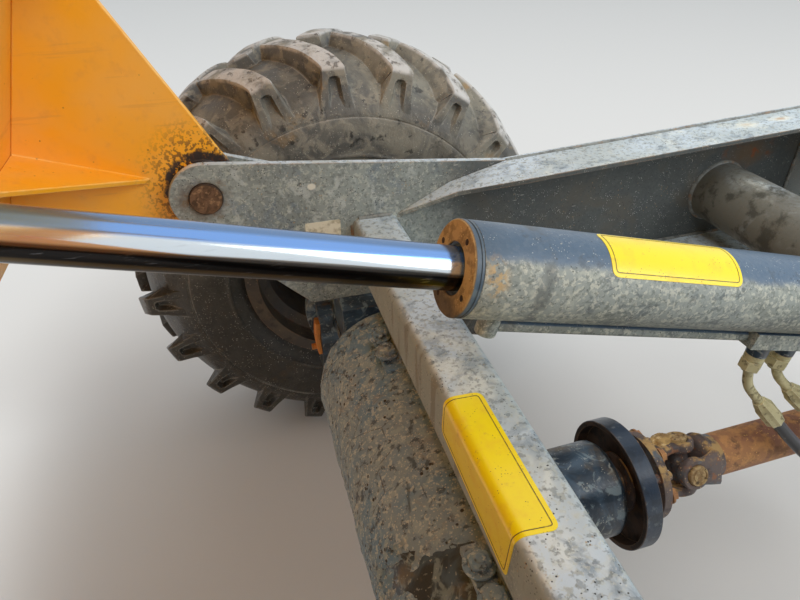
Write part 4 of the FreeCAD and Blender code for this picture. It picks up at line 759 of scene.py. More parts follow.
def weld_bead(start, end, radius):
    """A rippled bead between two points: its radius swells by an eighth at each ripple, 4 mm apart."""
    start, end = np.array(start, float), np.array(end, float)
    length = np.linalg.norm(end - start)
    count = max(8, int(length / 0.002))
    share = np.linspace(0.0, 1.0, count)
    path = start + (end - start) * share[:, None]
    ripple = np.abs(np.sin(share * length / 0.008 * math.pi))
    wander = 1.0 + 0.10 * np.sin(share * length * 61.0)
    reference = UPWARD if abs(unit(end - start)[2]) < 0.9 else AHEAD
    return swept(path, radius * wander * (0.84 + 0.2 * ripple), reference, 8)


def barred(path, widths, depths, across, columns=24):
    """A bar along a path: each section is a superellipse of the fourth power, so many metres half wide along
    across and half deep square to it."""
    path = np.array(path, float)
    run = np.gradient(path, axis=0)
    run /= np.linalg.norm(run, axis=1, keepdims=True)
    side = across - run * (run @ np.asarray(across, float))[:, None]
    side /= np.linalg.norm(side, axis=1, keepdims=True)
    up = np.cross(side, run)
    angles = (np.arange(columns) + 0.5) * FULL_TURN / columns
    wide = np.sign(np.cos(angles)) * np.abs(np.cos(angles)) ** 0.5
    deep = np.sign(np.sin(angles)) * np.abs(np.sin(angles)) ** 0.5
    ring = (np.array(widths, float)[:, None, None] * wide[None, :, None] * side[:, None]
            + np.array(depths, float)[:, None, None] * deep[None, :, None] * up[:, None])
    return surface(capped(path[:, None] + ring))


def rounded(corners, reach, count=180):
    """A closed outline with each of its corners replaced by a quadratic curve, in evenly spaced points."""
    corners = np.array(corners, float)
    run = eased(np.concatenate([corners[-1:], corners, corners[:1]]), reach, 8)[1:-1]
    run = np.concatenate([run, run[:1]])
    along = np.concatenate([[0.0], np.cumsum(np.linalg.norm(np.diff(run, axis=0), axis=1))])
    places = np.arange(count) * along[-1] / count
    return np.stack([np.interp(places, along, run[:, 0]), np.interp(places, along, run[:, 1])], axis=1)


def inset(outline, depth):
    """A closed outline moved inwards by a depth, along the normals at its points."""
    run = np.roll(outline, -1, axis=0) - np.roll(outline, 1, axis=0)
    run /= np.linalg.norm(run, axis=1, keepdims=True)
    normal = np.stack([-run[:, 1], run[:, 0]], axis=1)
    middle = outline.mean(axis=0)
    normal *= np.sign(((middle - outline) * normal).sum(axis=1))[:, None]
    return outline + normal * depth


def film(outline, lay, low, high, rings=14):
    """A thin sheet inside an outline: rings that shrink to its middle, on its face and on its back, each
    laid on the piece by a function of the outline's two measures and the height."""
    shrink = np.linspace(0.0, 1.0, rings)[:, None, None]
    middle = outline.mean(axis=0)
    flat = middle + (outline - middle)[None] * shrink
    face, back = lay(flat, high), lay(flat[::-1], low)
    return surface(np.concatenate([face, back]))


def film_edge(outline, depth, width, lay, low, high):
    """A closed line of a width, set in from an outline by a depth."""
    outer, inner = inset(outline, depth), inset(outline, depth + width)
    rows = [lay(outer, low), lay(outer, high), lay(inner, high), lay(inner, low)]
    return surface(np.stack(rows), wrap_rows=True)


def lumps(first, second, seed, octaves=5):
    """A smooth unevenness between about -1 and 1: for each octave, the product of a sine of each measure,
    bent by the other, its waves doubled and its share halved from one octave to the next."""
    total = 0.0
    for octave in range(octaves):
        wave = 2.03 ** octave
        bend = 0.9 * np.sin(second * wave * 0.71 + seed * 1.7 + octave)
        other = 0.9 * np.sin(first * wave * 0.63 + seed * 2.9 - octave)
        total = total + 0.62 ** octave * np.sin(first * wave + bend + seed) * np.sin(second * wave + other + seed * 3.1)
    return total


# Nodes that a piece of their own stands for; all others are dressed as they are
REMADE = ("tyre_left", "tyre_right", "hose_front", "hose_rear", "propshaft", "hose_fittings", "ram_rod",
          "crossmember", "ram_gland")
FINISH_OF = {"axle_saddles": "mud_crust", "ram_mount": "mount_paint", "pinion_flange": "yoke_steel",
             "propshaft_bearing": "cast_dark", "skip_shell": "shell_paint", "ram_gland": "gland_steel", "parking_drum": "drum_blue"}
EDGE = {"skip": 0.0025, "chassis": 0.0018, "barrel": 0.0012, "piston_rod": 0.0015, "driveline": 0.0012,
        "wheel_left": 0.0015, "wheel_right": 0.0015}


def dressed(node):
    """The node's own shape as one welded mesh with eased edges, standing for it."""
    mesh = frame["nodes"][node].data.copy()
    work = bmesh.new()
    work.from_mesh(mesh)
    bmesh.ops.remove_doubles(work, verts=work.verts, dist=1e-5)
    bmesh.ops.dissolve_limit(work, angle_limit=math.radians(0.6), verts=work.verts, edges=work.edges)
    work.to_mesh(mesh)
    work.free()
    for layer in ("custom_normal", "sharp_face", "sharp_edge"):
        if layer in mesh.attributes:
            mesh.attributes.remove(mesh.attributes[layer])
    mesh.shade_smooth()
    piece = add_piece(node + "_dressed", mesh, BODY_OF[node], FINISH_OF.get(node, SLOTS[node]), (node,))
    ease = piece.modifiers.new("edges", "BEVEL")
    ease.width = EDGE[BODY_OF[node]]
    ease.segments = 2
    ease.limit_method = "ANGLE"
    ease.angle_limit = math.radians(35.0)
    ease.use_clamp_overlap = False
    ease.harden_normals = True
    return piece


def hoses():
    """The two hoses: NURBS lines through their routes, turned to tubes."""
    for name, hose in HOSES.items():
        curve = bpy.data.curves.new(name + "_line", "CURVE")
        curve.dimensions = "3D"
        curve.resolution_u = 10
        spline = curve.splines.new("NURBS")
        route = [tuple(at(*point)) for point in hose["route"]]
        spline.points.add(len(route) - 1)
        spline.points.foreach_set("co", [value for point in route for value in (*point, 1.0)])
        spline.order_u = 3
        spline.use_endpoint_u = True
        holder = bpy.data.objects.new(name + "_line", curve)
        line = bpy.data.meshes.new_from_object(holder)
        path = np.zeros(len(line.vertices) * 3)
        line.vertices.foreach_get("co", path)
        path = path.reshape(-1, 3)
        bpy.data.objects.remove(holder)
        mesh = made_mesh(name + "_tube", [swept(path, HOSE_DIAMETER / 2.0, ACROSS, 20)])
        mesh.materials.append(FINISHES["hose_rubber"])
        piece = bpy.data.objects.new(name + "_tube", mesh)
        bpy.context.scene.collection.objects.link(piece)
        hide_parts(name)
        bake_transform(piece)


hoses()

# The tyre's section below its crown, as (radius, distance from the wheel's middle)
CROWN = 0.533
CROWN_DROP = 0.068
TREAD_MIDDLE = -0.008
SIDE_WALL = [(0.4874, 0.150), (0.466, 0.180), (0.440, 0.1935), (0.4215, 0.1985), (0.4205, 0.1965), (0.4165, 0.1970),
             (0.4155, 0.1995), (0.390, 0.2015), (0.360, 0.2005), (0.330, 0.193), (0.3265, 0.1945), (0.3205, 0.1925),
             (0.3195, 0.189), (0.2965, 0.174), (0.2855, 0.162), (0.258, 0.162)]
CARCASS_INSIDE = [(0.258, 0.140), (0.330, 0.162), (0.455, 0.126)]


def crown(y):
    """The carcass's radius between the bars: it drops by the two and a half power of the distance from mid tread."""
    return CROWN - CROWN_DROP * (np.abs(y) / TREAD_EDGE) ** 2.5


def tread_face(y):
    return TYRE_RADIUS - TREAD_DROP * (np.abs(y) / TREAD_EDGE) ** 2.5


def carcass(centre):
    """The tyre without its bars: half a section mirrored about mid tread, carried round the wheel's axis."""
    across = np.linspace(0.0, 0.140, 10)
    half = np.concatenate([np.stack([crown(across), across], axis=1), eased(SIDE_WALL, 0.012, 3)])
    outer = np.concatenate([half[::-1] * (1, -1), half[1:]])
    inside = np.array(CARCASS_INSIDE)
    section = np.concatenate([outer, inside, inside[::-1] * (1, -1)])
    return turned(section, centre, ACROSS, 160, closed=True)


def bars(centre, face, phase):
    """One side's bars. A bar is a strip over stations and columns: its stations run from mid tread out to the
    shoulder, leaning back by a power of the distance, and down the side wall as a buttress; its columns go up
    one flank, over its face and down the other. A rounded window is sunk in the buttress, and lumps roughen
    the whole by up to a millimetre or two."""
    tread = np.linspace(TREAD_MIDDLE, TREAD_EDGE - 0.010, 16)
    corner = np.array([TREAD_EDGE - 0.004, TREAD_EDGE, TREAD_EDGE + 0.003])
    wall_radius = np.linspace(0.5215, 0.418, 26)
    top_y = np.concatenate([tread, corner, np.interp(wall_radius, [0.418, 0.5215], [0.1965, 0.181])])
    top_radius = np.concatenate([tread_face(tread), [0.5325, 0.530, 0.526], wall_radius])
    wall_y = np.interp(wall_radius, [0.405, 0.4155, 0.440, 0.466, 0.488], [0.196, 0.194, 0.187, 0.172, 0.150])
    base_y = np.concatenate([np.minimum(tread, 0.150), [0.150, 0.150, 0.150], np.minimum(wall_y, 0.1965)])
    base_radius = np.concatenate([crown(np.minimum(tread, 0.150)) - 0.008, [0.478, 0.474, 0.470],
                                  np.minimum(wall_radius, 0.480)])
    share = np.clip((TREAD_EDGE - top_y) / (TREAD_EDGE - TREAD_MIDDLE), 0.0, 1.0)
    lead = 0.114 * share ** 1.15 / TYRE_RADIUS
    down = np.clip((0.526 - top_radius) / 0.108, 0.0, 1.0)
    half_width = 0.027 - 0.001 * share + 0.018 * down ** 1.3
    face_columns = np.linspace(-0.93, 0.93, 17)
    column = np.concatenate([[-1.0, -1.0], face_columns, [1.0, 1.0]])
    lift = np.concatenate([[0.0, 0.93], np.ones(17), [0.93, 0.0]])
    radius = base_radius[:, None] + (top_radius - base_radius)[:, None] * lift
    offset = base_y[:, None] + (top_y - base_y)[:, None] * lift
    flank = 0.010 * (1.0 - lift) * (1.0 - down)[:, None]
    side = column * (half_width[:, None] + flank)
    middle = 0.496
    open_half = 0.011 + 0.05 * np.clip(middle - radius, 0.0, 0.1)
    beyond = np.hypot(side, np.clip(radius - middle, 0.0, None)) - open_half
    sunk = np.clip(0.5 - beyond / 0.006, 0.0, 1.0) * (down > 0.0)[:, None]
    depth = 0.017 * sunk * np.clip((radius - 0.430) / 0.060, 0.0, 1.0)
    offset = offset - depth
    angles = phase + np.arange(LUG_COUNT) * FULL_TURN / LUG_COUNT
    angle = angles[:, None, None] - lead[None, :, None] + side[None] / radius[None]
    worn = lumps(angle * 14.0, np.broadcast_to(offset * 22.0, angle.shape), 1.3 + face)
    rub = lumps(angle * 9.0, np.broadcast_to(offset * 15.0, angle.shape), 4.1 - face)
    radius = radius[None] + np.minimum(0.0011 * worn, 0.0) * lift - 0.0008
    angle = angle + 0.0012 * rub * np.abs(column) ** 3 * lift / radius
    points = np.stack([radius * np.cos(angle), np.broadcast_to(offset * face, angle.shape), radius * np.sin(angle)], -1)
    return [surface(capped(centre + bar)) for bar in points]


def tyres():
    for side, centre in WHEELS.items():
        shells = [carcass(centre)]
        shells += bars(centre, 1.0, LUG_PHASE if side == "right" else LUG_PHASE + math.pi / LUG_COUNT)
        shells += bars(centre, -1.0, LUG_PHASE if side == "left" else LUG_PHASE + math.pi / LUG_COUNT)
        add_piece("tyre_%s_lugged" % side, made_mesh("tyre_" + side, shells, 38.0), "wheel_" + side, "tyre_rubber",
                  stands_for=("tyre_" + side,))


tyres()


def gland():
    """The barrel's mouth and the gland nut in it: a thin collar, a grooved shoulder and the face, whose holes are dark
    discs of painted shade.
    """
    mouth = [(0.0500, 0.700), (0.0617, 0.700), (0.0617, 0.7438), (0.0611, 0.7448), (0.0500, 0.7448)]
    add_piece("barrel_mouth", made_mesh("mouth", [turned(mouth, RAM_BASE, RAM_LINE, 96, closed=True)]), "barrel", "ram_paint")
    nut = [(0.0285, 0.654), (0.0495, 0.654), (0.0495, 0.7452), (0.0606, 0.7452), (0.0616, 0.7462), (0.0616, 0.7490),
           (0.0604, 0.7496), (0.0604, 0.7512), (0.0616, 0.7518), (0.0616, 0.7560), (0.0598, 0.7580), (0.0345, 0.7580),
           (0.0335, 0.7570), (0.0335, 0.7545), (0.0310, 0.7535), (0.0300, 0.7520), (0.0285, 0.7518)]
    shells = [turned(nut, RAM_BASE, RAM_LINE, 96, closed=True)]
    add_piece("gland_nut", made_mesh("gland", shells), "barrel", "gland_steel", ("ram_gland",))
    # Painted shade: four dark discs set in the face stand for its spanner holes
    holes = []
    for turn in (20.0, 110.0, 200.0, 290.0):
        place = on_ram(0.7583, math.radians(turn), 0.0472)
        holes.append(turned([(0.0, -0.004), (0.0040, -0.004), (0.0040, 0.0), (0.0034, 0.0002), (0.0, 0.0002)], place, RAM_LINE, 20))
    add_piece("gland_holes", made_mesh("gland_holes", holes), "barrel", "hole_dark")


gland()


def chrome_rod():
    """The rod from its piston to its eye, as one fine cylinder."""
    start, end = 0.639 - 0.110, 1.2695
    profile = [(0.0, start), (0.0498, start), (0.0498, start + 0.110), (ROD_RADIUS, start + 0.110),
               (ROD_RADIUS, end), (0.0, end)]
    add_piece("rod_polished", made_mesh("rod", [turned(profile, RAM_BASE, RAM_LINE, 96)]), "piston_rod", "rod_chrome",
              stands_for=("ram_rod",))


chrome_rod()

# The crossmember's bend: its faces, from the middle of the axle
MEMBER_REAR, MEMBER_FRONT, MEMBER_TOP, MEMBER_LOW = -0.0447, 0.0473, 0.2983, 0.2103
MEMBER_WALL = 0.010
MEMBER_BEND = 0.014
MEMBER_HALF = 0.490


def bent(corners, radius, steps=10):
    """A run of points whose right-angled inner corners are arcs of a radius."""
    corners = np.array(corners, float)
    back, on = corners[:-2] - corners[1:-1], corners[2:] - corners[1:-1]
    back /= np.linalg.norm(back, axis=1, keepdims=True)
    on /= np.linalg.norm(on, axis=1, keepdims=True)
    turn = np.linspace(0.0, math.pi / 2.0, steps)[None, :, None]
    middle = corners[1:-1] + (back + on) * radius
    arc = middle[:, None] - on[:, None] * radius * np.cos(turn) - back[:, None] * radius * np.sin(turn)
    return np.concatenate([corners[:1], arc.reshape(-1, 2), corners[-1:]])


def channel():
    """The crossmember as bent plate: an outer and an inner line with arcs at the bends, carried across; at each
    end the two lines meet half way through the plate."""
    w = MEMBER_WALL
    outer = bent([(MEMBER_REAR, MEMBER_LOW), (MEMBER_REAR, MEMBER_TOP), (MEMBER_FRONT, MEMBER_TOP),
                  (MEMBER_FRONT, MEMBER_LOW)], MEMBER_BEND)
    inner = bent([(MEMBER_REAR + w, MEMBER_LOW), (MEMBER_REAR + w, MEMBER_TOP - w), (MEMBER_FRONT - w, MEMBER_TOP - w),
                  (MEMBER_FRONT - w, MEMBER_LOW)], MEMBER_BEND - w)
    middle = (outer + inner) / 2.0
    section = np.concatenate([outer, inner[::-1]])
    closing = np.concatenate([middle, middle[::-1]])
    stations = np.linspace(-MEMBER_HALF, MEMBER_HALF, 50)
    rows = [closing] + [section] * len(stations) + [closing]
    across = np.concatenate([[stations[0]], stations, [stations[-1]]])
    points = [at(0.0, y, 0.0) + row[:, :1] * AHEAD + row[:, 1:] * UPWARD for y, row in zip(across, rows)]
    add_piece("crossmember_bent", made_mesh("member", [surface(np.stack(points))], 50.0), "chassis", "frame_paint",
              stands_for=("crossmember",))


channel()


def over_member(flat, height):
    """Lay a sheet on the crossmember: its first measure is Y, its second runs forwards over the top from 4 mm
    behind the axle's middle, round the bend and down the front."""
    y, run = flat[..., 0], flat[..., 1] - 0.004
    start = MEMBER_FRONT - MEMBER_BEND
    turn = np.clip((run - start) / MEMBER_BEND, 0.0, math.pi / 2.0)
    down = np.clip(run - start - MEMBER_BEND * math.pi / 2.0, 0.0, None)
    reach = MEMBER_BEND + height
    x = np.minimum(run, start) + reach * np.sin(turn)
    z = MEMBER_TOP - MEMBER_BEND + reach * np.cos(turn) - down
    return AXLE + np.stack([x, y, z], axis=-1)


def round_barrel(flat, height):
    """Lay a sheet on the ram's barrel: its first measure runs along the ram, its second round it."""
    angle = flat[..., 1] / 0.0618
    out = np.cos(angle)[..., None] * RAM_UP + np.sin(angle)[..., None] * ACROSS
    return RAM_BASE + flat[..., :1] * RAM_LINE + (0.0618 + height) * out


def films():
    """Two blank yellow films, one folded over the crossmember and one round the barrel, each with a thin line
    inside its edge, and a blank tag inside the right rail."""
    member = rounded([(0.055, 0.001), (0.272, 0.001), (0.262, 0.126), (0.050, 0.108)], 0.012)
    barrel = rounded([(0.341, -0.0129), (0.565, -0.0129), (0.565, 0.0626), (0.341, 0.0626)], 0.012)
    for name, outline, lay, body, slot in (("member", member, over_member, "chassis", "frame_paint"),
                                           ("barrel", barrel, round_barrel, "barrel", "ram_paint")):
        add_piece("film_" + name, made_mesh("film_" + name, [film(outline, lay, -0.0004, 0.0006)], 60.0), body,
                  "film_yellow")
        add_piece("film_line_" + name, made_mesh("film_line_" + name,
                                                 [film_edge(outline, 0.0055, 0.0011, lay, 0.0002, 0.0009)], 60.0),
                  body, "film_line")

    def on_rail(flat, height):
        return AXLE + np.stack([flat[..., 0], np.full(flat.shape[:-1], -0.490 + height), flat[..., 1]], axis=-1)

    tag = rounded([(0.073, 0.268), (0.144, 0.268), (0.144, 0.303), (0.073, 0.303)], 0.004)
    holes = [turned([(0.0, 0.0), (0.0025, 0.0), (0.0022, 0.0012), (0.0, 0.0014)],
                    at(x, -0.4894, z), ACROSS, 12) for x in (0.078, 0.139) for z in (0.273, 0.298)]
    add_piece("rail_tag", made_mesh("rail_tag", [film(tag, on_rail, -0.0005, 0.0010)] + holes, 40.0), "chassis",
              "tag_cream")


films()


def crust():
    """Mud dried on the axle's drum: a lathe skin a few millimetres thick whose thickness is roughened by
    lumps, and which ends in a ragged edge towards the left, where the paint is bare."""
    rows, columns = 170, 200
    y = np.linspace(-0.3849, 0.3849, rows)
    angle = np.arange(columns) * FULL_TURN / columns
    y, angle = np.meshgrid(y, angle, indexing="ij")
    base = np.interp(np.abs(y), [0.0, 0.330, 0.352, 0.369, 0.380, 0.385], [0.163, 0.163, 0.158, 0.147, 0.126, 0.108])
    ragged = lumps(angle * 3.0, y * 24.0, 0.7)
    coarse, fine = lumps(angle * 5.0, y * 34.0, 2.2), lumps(angle * 21.0, y * 120.0, 5.1)
    edge = np.clip((0.156 + 0.030 * ragged - y) / 0.012, -1.0, 1.0)
    lip = np.exp(-((0.156 + 0.030 * ragged - y - 0.012) / 0.012) ** 2)
    thick = (0.0026 + 0.0013 * coarse + 0.0006 * fine) * np.clip(edge, 0.0, 1.0) + 0.0040 * np.clip(edge, -1.0, 0.0)
    thick = thick + 0.0045 * lip * (0.6 + 0.5 * fine)
    radius = base + thick
    outer = np.stack([radius * np.cos(angle), y, radius * np.sin(angle)], axis=-1)
    inner = np.stack([(base - 0.008) * np.cos(angle), y, (base - 0.008) * np.sin(angle)], axis=-1)
    points = AXLE + np.concatenate([outer, inner[::-1]])
    add_piece("drum_crust", made_mesh("crust", [surface(points, wrap_rows=True)], 70.0), "chassis", "mud_crust")


crust()

# The propshaft's cross stands turned about the shaft
SHAFT_UP = np.cross(ACROSS, SHAFT_LINE)
CROSS_TURN = math.radians(25.0)
CROSS_LEFT = math.cos(CROSS_TURN) * ACROSS + math.sin(CROSS_TURN) * SHAFT_UP
CROSS_UP = math.cos(CROSS_TURN) * SHAFT_UP - math.sin(CROSS_TURN) * ACROSS
CROSS_AT = 0.452


def on_shaft(along, out=0.0, line=UPWARD):
    return SHAFT + along * SHAFT_LINE + out * np.asarray(line)


def yoke(line, root, side):
    """Two ears from a root on the shaft to the cross's ends on a line, each with an eye round its cap."""
    shells = []
    square = np.cross(SHAFT_LINE, line)
    for sign in (1.0, -1.0):
        out = line * sign
        stations = np.linspace(0.0, 1.0, 12)
        along = root + (CROSS_AT - root) * stations
        reach = 0.040 + 0.004 * np.sin(stations * math.pi)
        path = SHAFT + along[:, None] * SHAFT_LINE + reach[:, None] * out
        widths = np.interp(stations, [0.0, 0.25, 0.6, 1.0], [0.034, 0.030, 0.025, 0.027])
        depths = np.interp(stations, [0.0, 0.5, 1.0], [0.012, 0.009, 0.008])
        shells.append(barred(path, widths, depths, square))
        eye = [(0.0192, 0.033), (0.0275, 0.033), (0.0292, 0.036), (0.0292, 0.048), (0.0272, 0.0515), (0.0205, 0.0515)]
        shells.append(turned(eye, on_shaft(CROSS_AT), out, 40, closed=True))
    return shells


def propshaft():
    """The shaft between its joint and its rear coupling: flange rim, yokes, cross, neck, tube and end disc."""
    flange = turned([(0.0, 0.378), (0.0545, 0.378), (0.056, 0.3795), (0.056, 0.3855), (0.050, 0.389), (0.034, 0.392),
                     (0.0, 0.392)], SHAFT, SHAFT_LINE, 64)
    forgings = [flange] + yoke(CROSS_UP, 0.388, 1.0) + yoke(CROSS_LEFT, 0.500, -1.0)
    neck = [(0.0, 0.486), (0.036, 0.486), (0.046, 0.492), (0.049, 0.500), (0.046, 0.508), (0.0415, 0.514),
            (0.0400, 0.524), (0.0, 0.524)]
    forgings.append(turned(neck, SHAFT, SHAFT_LINE, 64))
    forgings += [barred([on_shaft(CROSS_AT, out, line) for out in np.linspace(-0.040, 0.040, 9)],
                        np.full(9, 0.0145), np.full(9, 0.0145), SHAFT_LINE) for line in (CROSS_UP, CROSS_LEFT)]
    tube = [(0.0, 0.516), (0.0400, 0.516), (0.0400, 0.968), (0.0380, 0.978), (0.0302, 0.988), (0.030, 0.992),
            (0.030, 1.082), (0.034, 1.094), (0.0565, 1.094), (0.058, 1.0955), (0.058, 1.1065), (0.0565, 1.108), (0.0, 1.108)]
    add_piece("shaft_tube", made_mesh("shaft_tube", [turned(tube, SHAFT, SHAFT_LINE, 72)]), "driveline", "rusty_steel",
              stands_for=("propshaft",))
    add_piece("shaft_forgings", made_mesh("shaft_forgings", forgings, 40.0), "driveline", "yoke_steel")
    cap = [(0.0, 0.030), (0.0190, 0.030), (0.0190, 0.0560), (0.0178, 0.0578), (0.0150, 0.0578), (0.0142, 0.0562),
           (0.0112, 0.0562), (0.0106, 0.0574), (0.0060, 0.0576), (0.0048, 0.0562), (0.0, 0.0562)]
    caps = [turned(cap, on_shaft(CROSS_AT), line * sign, 40) for line in (CROSS_UP, CROSS_LEFT) for sign in (1.0, -1.0)]
    add_piece("shaft_caps", made_mesh("shaft_caps", caps, 30.0), "driveline", "cap_tan")
    u, v = np.meshgrid(np.linspace(0.0, math.pi, 20), np.arange(32) * FULL_TURN / 32, indexing="ij")
    shells = []
    for along, out, size, seed in ((0.421, 0.053, (0.022, 0.020, 0.008), 1.0), (0.404, 0.047, (0.012, 0.016, 0.009), 2.6)):
        swell = 1.0 + 0.16 * lumps(u * 3.0, v * 2.0, seed)
        ball = np.stack([size[0] * np.cos(u), size[1] * np.sin(u) * np.cos(v), size[2] * np.sin(u) * np.sin(v)], -1)
        shells.append(surface(on_shaft(along, out, CROSS_UP) + ball * swell[..., None]))
    add_piece("shaft_clay", made_mesh("shaft_clay", shells, 60.0), "driveline", "clay")


propshaft()

# Each hose's fitting under the port block, from the middle of the axle
FITTINGS = {
    "front": [(-0.516, 0.015, 0.236), (-0.511, 0.015, 0.198), (-0.520, 0.016, 0.146), (-0.550, 0.026, 0.106),
              (-0.588, 0.042, 0.062)],
    "rear": [(-0.574, 0.015, 0.222), (-0.569, 0.015, 0.190), (-0.583, 0.016, 0.150), (-0.606, 0.024, 0.122),
             (-0.646, 0.040, 0.082)],
}


def ferrule(start, end):
    """A crimped sleeve: eight long flats with grooves between them, drawn in at its first end."""
    start, end = np.array(start, float), np.array(end, float)
    share = np.array([0.0, 0.0, 0.10, 0.26, 0.30, 0.97, 1.0, 1.0])
    size = np.array([0.60, 0.68, 0.78, 0.98, 1.0, 1.0, 0.97, 0.80])
    angles = np.arange(64) * FULL_TURN / 64
    ridge = 0.0162 - 0.0014 * np.abs(np.sin(angles * 4.0)) ** 0.35 * 0.6 + 0.0006 * np.cos(angles * 8.0)
    axis = unit(end - start)
    side = unit(np.cross(ACROSS, axis))
    up = np.cross(axis, side)
    ring = np.cos(angles)[:, None] * side + np.sin(angles)[:, None] * up
    points = start + (end - start) * share[:, None, None] + ring[None] * ridge[None, :, None] * size[:, None, None]
    return surface(capped(points))


def fittings():
    """Under the port block: a painted boss, a plated collar and nut, the bent tube and the ferrule."""
    bosses, plated = [], []
    for points in FITTINGS.values():
        top, nut, bend, sleeve, start = AXLE + np.array(points)
        line = unit(nut - top)
        length = np.linalg.norm(nut - top)
        bosses.append(turned([(0.0, -0.004), (0.0170, -0.004), (0.0165, length * 0.62), (0.0, length * 0.62)], top, line, 40))
        plated.append(turned([(0.0, 0.0), (0.0152, 0.0), (0.0160, 0.002), (0.0160, length * 0.26), (0.0135, length * 0.30),
                              (0.0135, length * 0.46), (0.0, length * 0.46)], top + line * length * 0.58, line, 40))
        plated.append(hexagon(top + line * length * 0.94, line, 0.0315, 0.0185, 0.12))
        plated.append(turned([(0.0, 0.0), (0.0120, 0.0), (0.0105, 0.004), (0.0, 0.004)], top + line * (length * 0.94 + 0.0185),
                             line, 32))
        on = unit(start - sleeve)
        route = eased([nut + line * 0.012, bend + line * 0.004, sleeve - on * 0.002, sleeve + on * 0.010], 0.030, 12)
        plated.append(swept(route, 0.0082, ACROSS, 20))
        plated.append(ferrule(sleeve, start))
        plated.append(turned([(0.0, 0.0), (0.0112, 0.0), (0.0112, 0.006), (0.0, 0.006)], start - on * 0.004, on, 32))
    add_piece("fittings_plated", made_mesh("fittings", plated, 30.0), "barrel", "plated_fittings",
              stands_for=("hose_fittings",))
    add_piece("fittings_bosses", made_mesh("bosses", bosses, 30.0), "barrel", "cast_dark")


fittings()


def fasteners():
    """Bolt heads and nuts over the plain studs, and the nuts at the hose bulkhead."""
    saddle = [shell for y in (-0.260, -0.212, 0.212, 0.260) for x in (-0.055, 0.055)
              for shell in bolt(at(x, y, 0.173), UPWARD, 0.027, 0.010)]
    add_piece("saddle_bolts", made_mesh("saddle_bolts", saddle, 30.0), "chassis", "mud_crust")
    flange = []
    for i in range(6):
        angle = math.radians(15.0 + 60.0 * i)
        out = 0.068 * (math.cos(angle) * ACROSS + math.sin(angle) * SHAFT_UP)
        flange += bolt(SHAFT + 0.381 * SHAFT_LINE + out, SHAFT_LINE, 0.019, 0.0095)
        flange.append(hexagon(SHAFT + 0.3305 * SHAFT_LINE + out, SHAFT_LINE, 0.019, 0.010))
    add_piece("flange_bolts", made_mesh("flange_bolts", flange, 30.0), "driveline", "rusty_steel")
    for side, centre in WHEELS.items():
        sign = 1.0 if side == "left" else -1.0
        nuts = []
        for i in range(8):
            angle = math.radians(22.5 + 45.0 * i)
            place = centre + np.array([0.1375 * math.cos(angle), 0.076 * sign, 0.1375 * math.sin(angle)])
            nuts += bolt(place, ACROSS * sign, 0.0375, 0.0165)
        add_piece("wheel_nuts_" + side, made_mesh("wheel_nuts_" + side, nuts, 30.0), "wheel_" + side, "rusty_steel")
    ends = [hexagon(at(-1.046, 0.150, z), AHEAD, 0.036, 0.014) for z in (-0.008, 0.056)]
    ends += [hexagon(at(-1.030, 0.150, z), AHEAD, 0.0345, 0.012) for z in (-0.008, 0.056)]
    add_piece("bulkhead_nuts", made_mesh("bulkhead_nuts", ends, 30.0), "chassis", "plated_fittings")


fasteners()


def brake_levers():
    """A painted lever on each brake's actuator, with its pin."""
    shells = []
    for sign in (1.0, -1.0):
        y = 0.586 * sign
        path = [at(0.128 + 0.004 * math.sin(t * 3.0), y, -0.004 - 0.090 * t) for t in np.linspace(0.0, 1.0, 10)]
        shells.append(barred(path, np.full(10, 0.015), np.linspace(0.008, 0.006, 10), ACROSS))
        shells.append(turned([(0.0, -0.012), (0.0075, -0.012), (0.0075, 0.012), (0.0, 0.012)],
                             at(0.136, y, -0.078), AHEAD, 20))
    add_piece("brake_levers", made_mesh("brake_levers", shells, 40.0), "chassis", "lever_paint")


brake_levers()


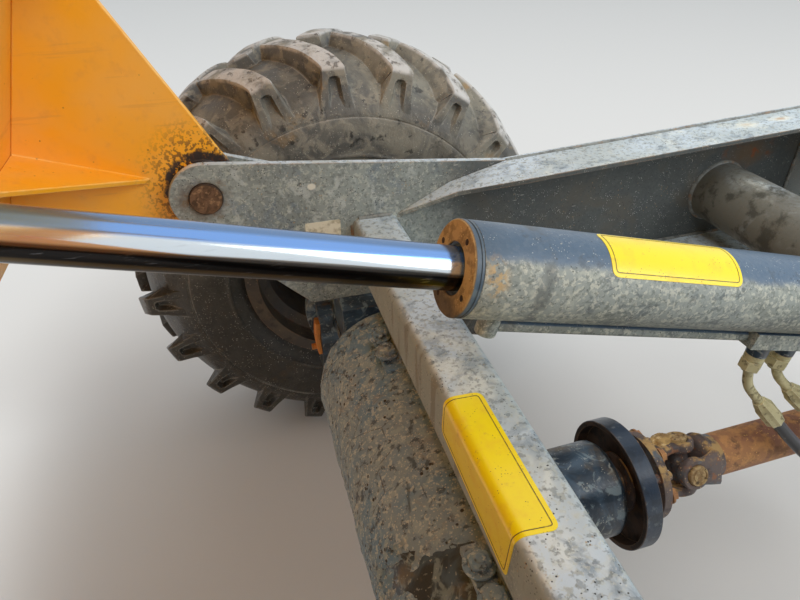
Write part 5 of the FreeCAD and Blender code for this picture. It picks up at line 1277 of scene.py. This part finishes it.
def welds():
    """Beads where the plates and tubes of the frame meet."""
    beads = []
    for sign in (1.0, -1.0):
        y = 0.4885 * sign
        beads.append(weld_bead(at(MEMBER_REAR + 0.012, y, MEMBER_TOP + 0.001), at(MEMBER_FRONT - 0.012, y, MEMBER_TOP + 0.001), 0.0045))
        beads.append(weld_bead(at(MEMBER_FRONT + 0.001, y, MEMBER_TOP - 0.012), at(MEMBER_FRONT + 0.001, y, MEMBER_LOW), 0.0045))
        beads.append(weld_bead(at(MEMBER_REAR - 0.001, y, MEMBER_TOP - 0.012), at(MEMBER_REAR - 0.001, y, MEMBER_LOW), 0.0045))
        beads.append(weld_bead(at(-0.280, 0.4895 * sign, 0.3865), at(-1.048, 0.4895 * sign, 0.4305), 0.0035))
        beads.append(weld_bead(at(-0.190, 0.4885 * sign, 0.1255), at(-1.048, 0.4885 * sign, 0.1355), 0.0040))
        ring = [(0.0700, 0.0), (0.0755, 0.0), (0.0745, -0.0035), (0.0720, -0.0052), (0.0700, -0.0060)]
        beads.append(turned(ring, at(-0.842, 0.490 * sign, 0.245), ACROSS * sign, 90, closed=True))
        beads.append(weld_bead(at(-1.0505, 0.4865 * sign, 0.130), at(-1.0505, 0.4865 * sign, 0.418), 0.0045))
    add_piece("frame_welds", made_mesh("frame_welds", beads, 50.0), "chassis", "weld_steel")


welds()


for node in sorted(frame["nodes"]):
    if node not in REMADE:
        dressed(node)


def make_stage():
    """A pale floor and soft lamps over it."""
    size = 14.0
    corners = [(-size, -size, GROUND), (size, -size, GROUND), (size, size, GROUND), (-size, size, GROUND)]
    mesh = bpy.data.meshes.new("floor")
    mesh.from_pydata(corners, [], [(0, 1, 2, 3)])
    floor = bpy.data.objects.new("floor", mesh)
    bpy.context.scene.collection.objects.link(floor)
    material = bpy.data.materials.new("floor_pale")
    material.use_nodes = True
    shader = material.node_tree.nodes["Principled BSDF"]
    shader.inputs["Base Color"].default_value = srgb(205, 203, 199)
    shader.inputs["Roughness"].default_value = 0.9
    mesh.materials.append(material)
    world = bpy.data.worlds.new("studio")
    world.use_nodes = True
    world.node_tree.nodes["Background"].inputs["Color"].default_value = (0.90, 0.95, 1.0, 1.0)
    world.node_tree.nodes["Background"].inputs["Strength"].default_value = 0.85
    bpy.context.scene.world = world
    for name, place, aim, size, power in (("key", (5.5, 3.6, 9.0), (1.0, 0.0, 0.0), 7.0, 640.0),
                                          ("fill", (-5.3, 6.3, 5.4), (1.0, 0.0, 0.0), 7.0, 450.0)):
        data = bpy.data.lights.new(name, "AREA")
        data.size = size
        data.energy = power
        lamp = bpy.data.objects.new(name, data)
        aim_line = Vector(aim) - Vector(place)
        lamp.matrix_world = Matrix.Translation(place) @ aim_line.to_track_quat("-Z", "Y").to_matrix().to_4x4()
        bpy.context.scene.collection.objects.link(lamp)


make_stage()
bpy.context.scene.view_settings.view_transform = "Standard"
